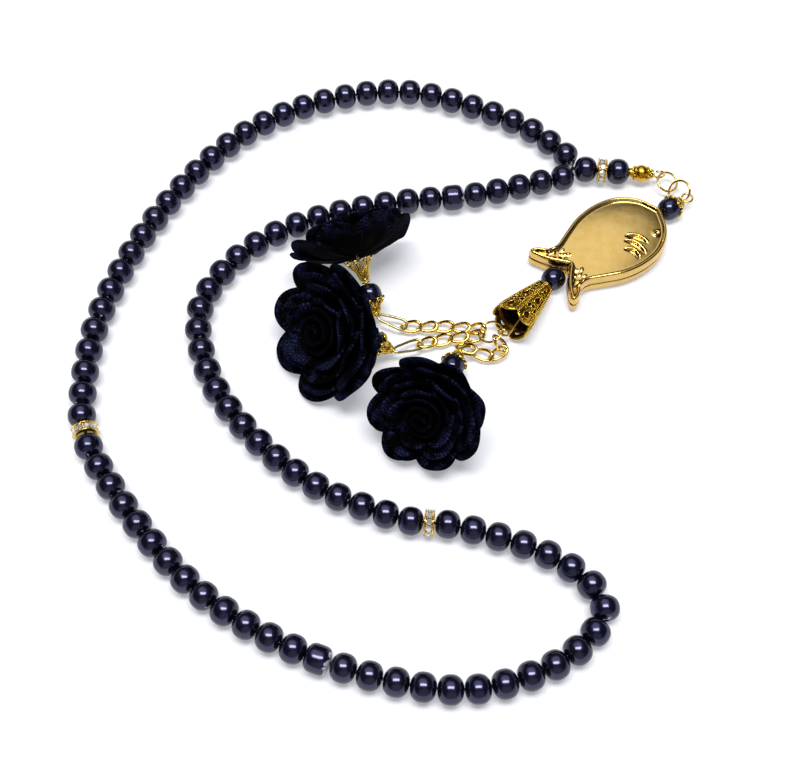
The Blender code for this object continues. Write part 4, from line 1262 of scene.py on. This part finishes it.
# The tail: two beads, a rondelle and a gold ball between caps
tail = heading(TAIL_TURN)
junction = on_table(JUNCTION, STRING_HEIGHT)
spacing = BEAD_RADIUS + RONDELLE_WIDTH / 2 + TOUCH
tail_rondelle = junction + tail * spacing
second_bead = tail_rondelle + tail * spacing
ball_reach = cap_length(BALL_RADIUS, SHORT_REACH)
ball_centre = second_bead + tail * (BEAD_RADIUS + ball_reach + TOUCH)
tail_end = ball_centre + tail * ball_reach
pearl("junction_bead", junction, tail, BEAD_GIRTH)
pearl("tail_bead", second_bead, tail, BEAD_GIRTH)
rondelle("tail_rondelle", tail_rondelle, tail)
ball = moved(bead_mesh(BALL_RADIUS + BALL_SWELL, BALL_BORE), frame_along(ball_centre, tail))
piece("gold_ball_bead", [(ball, BALL_GOLD)], "gold_ball", ["gold_ball"])
for side, name in ((-1, "ball_cap_near"), (1, "ball_cap_far")):
    petals = bead_cap(ball_centre, tail * side, BALL_RADIUS, SHORT_REACH, *BALL_CAP)
    piece(f"{name}_filigree", petals, "tail", [name])

# The loop of beads, in runs with a rondelle after each third; it is stretched until the string just fills it
spacings = [BEAD_PITCH if number % THIRD else 2 * spacing for number in range(1, BEADS)]
stretch = 1.0
for _ in range(6):
    path = smooth_path([junction + (on_table(p, STRING_HEIGHT) - junction) * stretch for p in LOOP_ROUTE])
    centres = walk(path, spacings)
    spare = (path[-1] - centres[-1]).dot((path[-1] - path[-2]).normalized())
    stretch *= 1 - spare / sum(spacings)
for number in range(BEADS // RUN_BEADS):
    round_places, barrel_places = [], []
    for index in range(number * RUN_BEADS, (number + 1) * RUN_BEADS):
        before, after = centres[max(index - 1, 0)], centres[min(index + 1, BEADS - 1)]
        spin = Matrix.Rotation(random.uniform(0, 2 * math.pi), 4, "Z")
        size = Matrix.Scale(random.uniform(0.985, 1.0), 4)
        here = frame_along(centres[index], (after - before).normalized()) @ spin @ size
        (barrel_places if index in BARREL_BEADS else round_places).append((here, random.random()))
    parts = []
    for places, square in ((round_places, BEAD_SQUARE), (barrel_places, BARREL_SQUARE)):
        if places:
            bead = bead_mesh(BEAD_RADIUS, BEAD_BORE, BEAD_GIRTH, square)
            parts.append((copies(bead, places, PEARL), PEARL))
    name = f"bead_run_{number + 1}"
    piece(f"{name}_pearls", parts, name, [name])
for name, last in (("side_rondelle", THIRD - 1), ("front_rondelle", 2 * THIRD - 1)):
    gap = centres[last + 1] - centres[last]
    rondelle(name, (centres[last] + centres[last + 1]) / 2, gap.normalized())

# The cord: a length in each run that moves with it, and two strands side by side in the tail
bends = [(before + after) / 2 for before, after in zip(centres, centres[1:])][RUN_BEADS - 1::RUN_BEADS]
for index, (end, inner) in enumerate(((centres[0], centres[1]), (centres[-1], centres[-2]))):
    bends.insert(index * len(bends), end + (end - inner).normalized() * (BEAD_RADIUS + 0.2))
for number in range(BEADS // RUN_BEADS):
    strand = centres[number * RUN_BEADS:(number + 1) * RUN_BEADS]
    strand = [bends[number]] + strand + [bends[number + 1]]
    threaded = [(wires([(strand, False)], CORD_RADIUS, NYLON), NYLON)]
    piece(f"cord_in_run_{number + 1}", threaded, f"bead_run_{number + 1}", ["stringing_cord"])
tail_line = [junction - tail * (BEAD_RADIUS + 0.9), junction, second_bead, tail_end - tail * 1.5]
strands = []
for start, offset in ((bends[0], CORD_SPREAD), (bends[-1], -CORD_SPREAD)):
    strands.append(([start] + [point + UP * offset for point in tail_line], False))
piece("cord_in_tail", [(wires(strands, CORD_RADIUS, NYLON), NYLON)], "tail", ["stringing_cord"])

# The tail's wire eye, the jump ring and the link ring
eye_centre = tail_end + tail * (EYE_RADIUS + 0.4)
lead = [tail_end - tail * 0.7, tail_end]
gold_wire("tail_eye_wire", (lead + eye(eye_centre, tail, UP, EYE_RADIUS), False), "tail", "tail_eye")
catch = EYE_RADIUS - WIRE - 2 * GAP
tail_catch = eye_centre + tail * catch
ring_out = heading(*TAIL_RING_OUT)
ring_centre = tail_catch + ring_out * TAIL_RING_RADIUS
ring_normal = (UP - ring_out * UP.dot(ring_out)).normalized()
gold_wire("tail_ring_wire", ring(ring_centre, ring_normal, TAIL_RING_RADIUS), "tail_ring", "tail_ring")
fish_out = heading(FISH_TURN)
fish_tail = on_table(FISH_TAIL_BEAD)
head_bead = fish_tail + fish_out * (FISH_NOSE + 0.47 + BEAD_RADIUS)
head_end = head_bead + fish_out * cap_length(BEAD_RADIUS, SHORT_REACH)
head_eye = head_end + fish_out * (EYE_RADIUS + 0.9)
fish_catch = head_eye + fish_out * (catch - 0.2)
ring_catch = ring_centre + ring_out * (TAIL_RING_RADIUS - WIRE - 3 * GAP)
link_out = (fish_catch - ring_catch).normalized()
link_side = UP.cross(link_out).normalized()
lean = math.radians(LINK_RING_LEAN)
link_normal = link_side * math.sin(lean) + link_side.cross(link_out).normalized() * math.cos(lean)
link_ring = ring((fish_catch + ring_catch) / 2, link_normal, (fish_catch - ring_catch).length / 2)
gold_wire("link_ring_wire", link_ring, "link_ring", "link_ring")

# The pin through the fish, its two beads and cap, the fish and the cone
cone_out = heading(*CONE_OUT)
ring_lean = heading(*TASSEL_RING_OUT)
cone_start = 4.8
cone_tip = fish_tail + cone_out * cone_start
cone_eye = fish_tail + cone_out * (cone_start + CONE_LENGTH + 2.5) - UP * 2.2
pin = eye(head_eye, fish_out, UP.cross(fish_out), EYE_RADIUS)[::-1]
pin += [head_end, head_bead, fish_tail, cone_tip + cone_out * 2]
pin += eye(cone_eye, heading(TASSEL_TURN), UP, EYE_RADIUS)
gold_wire("fish_pin_wire", (pin, False), "fish_pin", "fish_pin")
head_cap = bead_cap(head_bead, fish_out, BEAD_RADIUS, SHORT_REACH)
piece("fish_head_filigree", head_cap, "fish_pin", ["fish_head_cap"])
pearl("fish_head_bead", head_bead, fish_out)
pearl("fish_tail_bead", fish_tail, (fish_out - cone_out).normalized())
piece("fish_casting", fish(frame_facing(fish_tail, UP, fish_out)), "fish", ["fish"])
panels = cone(frame_facing(cone_tip, cone_out, ring_lean))
piece("cone_filigree", panels, "filigree_cone", ["filigree_cone"])

# The tassel: a ring, three chains and a rose at the end of each
tassel_catch = cone_eye + heading(TASSEL_TURN) * catch
tassel_centre = tassel_catch + ring_lean * TASSEL_RING_RADIUS
tassel_normal = (UP - ring_lean * UP.dot(ring_lean)).normalized()
tassel_ring = ring(tassel_centre, tassel_normal, TASSEL_RING_RADIUS)
gold_wire("tassel_ring_wire", tassel_ring, "tassel_ring", "tassel_ring")
for number, (plan, place) in enumerate(zip(CHAINS, ROSES), 1):
    turn = math.radians(plan["hangs"])
    out = ring_lean * math.cos(turn) + ring_lean.cross(UP).normalized() * math.sin(turn)
    route = [tassel_centre + Vector((*point, 0)) for point in plan["route"]]
    hook = chain(f"chain_{number}", tassel_centre + out * TASSEL_RING_RADIUS, route, plan["links"])
    rose(number, place, on_table(tassel_centre + Vector(place["bead"]), place["bead"][2]), hook)

# A white table: its own colour under the lamp, lifted to white where it is seen directly or in a
# reflection, and more so far from the string, where the lamp is weak
floor_shape = bmesh.new()
bmesh.ops.create_grid(floor_shape, x_segments=1, y_segments=1, size=TABLE_HALF)
floor = bpy.data.objects.new("table", as_mesh(floor_shape, "table"))
floor.location.z = -TABLE_DROP
bpy.context.scene.collection.objects.link(floor)
white, tree = new_material("white_table")
paths = add_node(tree, "ShaderNodeLightPath")
seen = paths.outputs["Is Camera Ray"]
for kind in ("Is Glossy Ray", "Is Transmission Ray"):
    seen = add_node(tree, "ShaderNodeMath", {0: seen, 1: paths.outputs[kind]}, operation="MAXIMUM").outputs[0]
spot = add_node(tree, "ShaderNodeTexCoord").outputs["Object"]
away = add_node(tree, "ShaderNodeVectorMath", {0: spot}, operation="LENGTH").outputs["Value"]
level = add_node(tree, "ShaderNodeMapRange", {
    "Value": away, "From Min": TABLE_NEAR[0], "From Max": TABLE_FAR[0],
    "To Min": TABLE_NEAR[1], "To Max": TABLE_FAR[1],
}).outputs[0]
glow = add_node(tree, "ShaderNodeMath", {0: seen, 1: level}, operation="MULTIPLY")
lit = add_node(tree, "ShaderNodeBsdfDiffuse", {"Color": linear("#DADBE0")})
lift = add_node(tree, "ShaderNodeEmission", {"Color": linear("#F5F8FF"), "Strength": glow.outputs[0]})
both = add_node(tree, "ShaderNodeAddShader", {0: lit.outputs[0], 1: lift.outputs[0]})
add_node(tree, "ShaderNodeOutputMaterial", {"Surface": both.outputs[0]})
floor.data.materials.append(white)
floor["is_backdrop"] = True

# A dim room with a white skirting all round, its two soft glows, and a long lamp straight above the table
world = bpy.data.worlds.new("room")
world.use_nodes = True
bpy.context.scene.world = world
tree = world.node_tree
tree.nodes.clear()
direction = add_node(tree, "ShaderNodeTexCoord").outputs["Generated"]
height = add_node(tree, "ShaderNodeSeparateXYZ", {0: direction}).outputs["Z"]
room = add_node(tree, "ShaderNodeMapRange", {
    "Value": height, "From Min": SKIRTING_FULL, "From Max": SKIRTING_END, "To Min": 1.0, "To Max": ROOM_LEVEL,
}).outputs[0]
for strength, turn, rise, start, full in GLOWS:
    towards = add_node(tree, "ShaderNodeVectorMath", {
        0: direction, 1: heading(turn, rise),
    }, operation="DOT_PRODUCT")
    patch = add_node(tree, "ShaderNodeMapRange", {
        "Value": towards.outputs["Value"], "From Min": start, "From Max": full,
        "To Min": ROOM_LEVEL, "To Max": strength,
    }, interpolation_type="SMOOTHSTEP")
    room = add_node(tree, "ShaderNodeMath", {0: room, 1: patch.outputs[0]}, operation="MAXIMUM").outputs[0]
sky = add_node(tree, "ShaderNodeBackground", {"Color": linear("#F2F5FF"), "Strength": room})
add_node(tree, "ShaderNodeOutputWorld", {"Surface": sky.outputs[0]})
lamp = bpy.data.lights.new("long_lamp", "AREA")
lamp.shape = "RECTANGLE"
lamp.size, lamp.size_y = LAMP_SIZE
lamp.energy = LAMP_POWER
lamp.color = LAMP_COLOUR
lamp_object = bpy.data.objects.new("long_lamp", lamp)
lamp_object.location = LAMP_PLACE
bpy.context.scene.collection.objects.link(lamp_object)
bpy.context.scene.view_settings.view_transform = "Standard"

boxes = [[list(map(float, corner)) for corner in box] for box in (cad_box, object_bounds())]
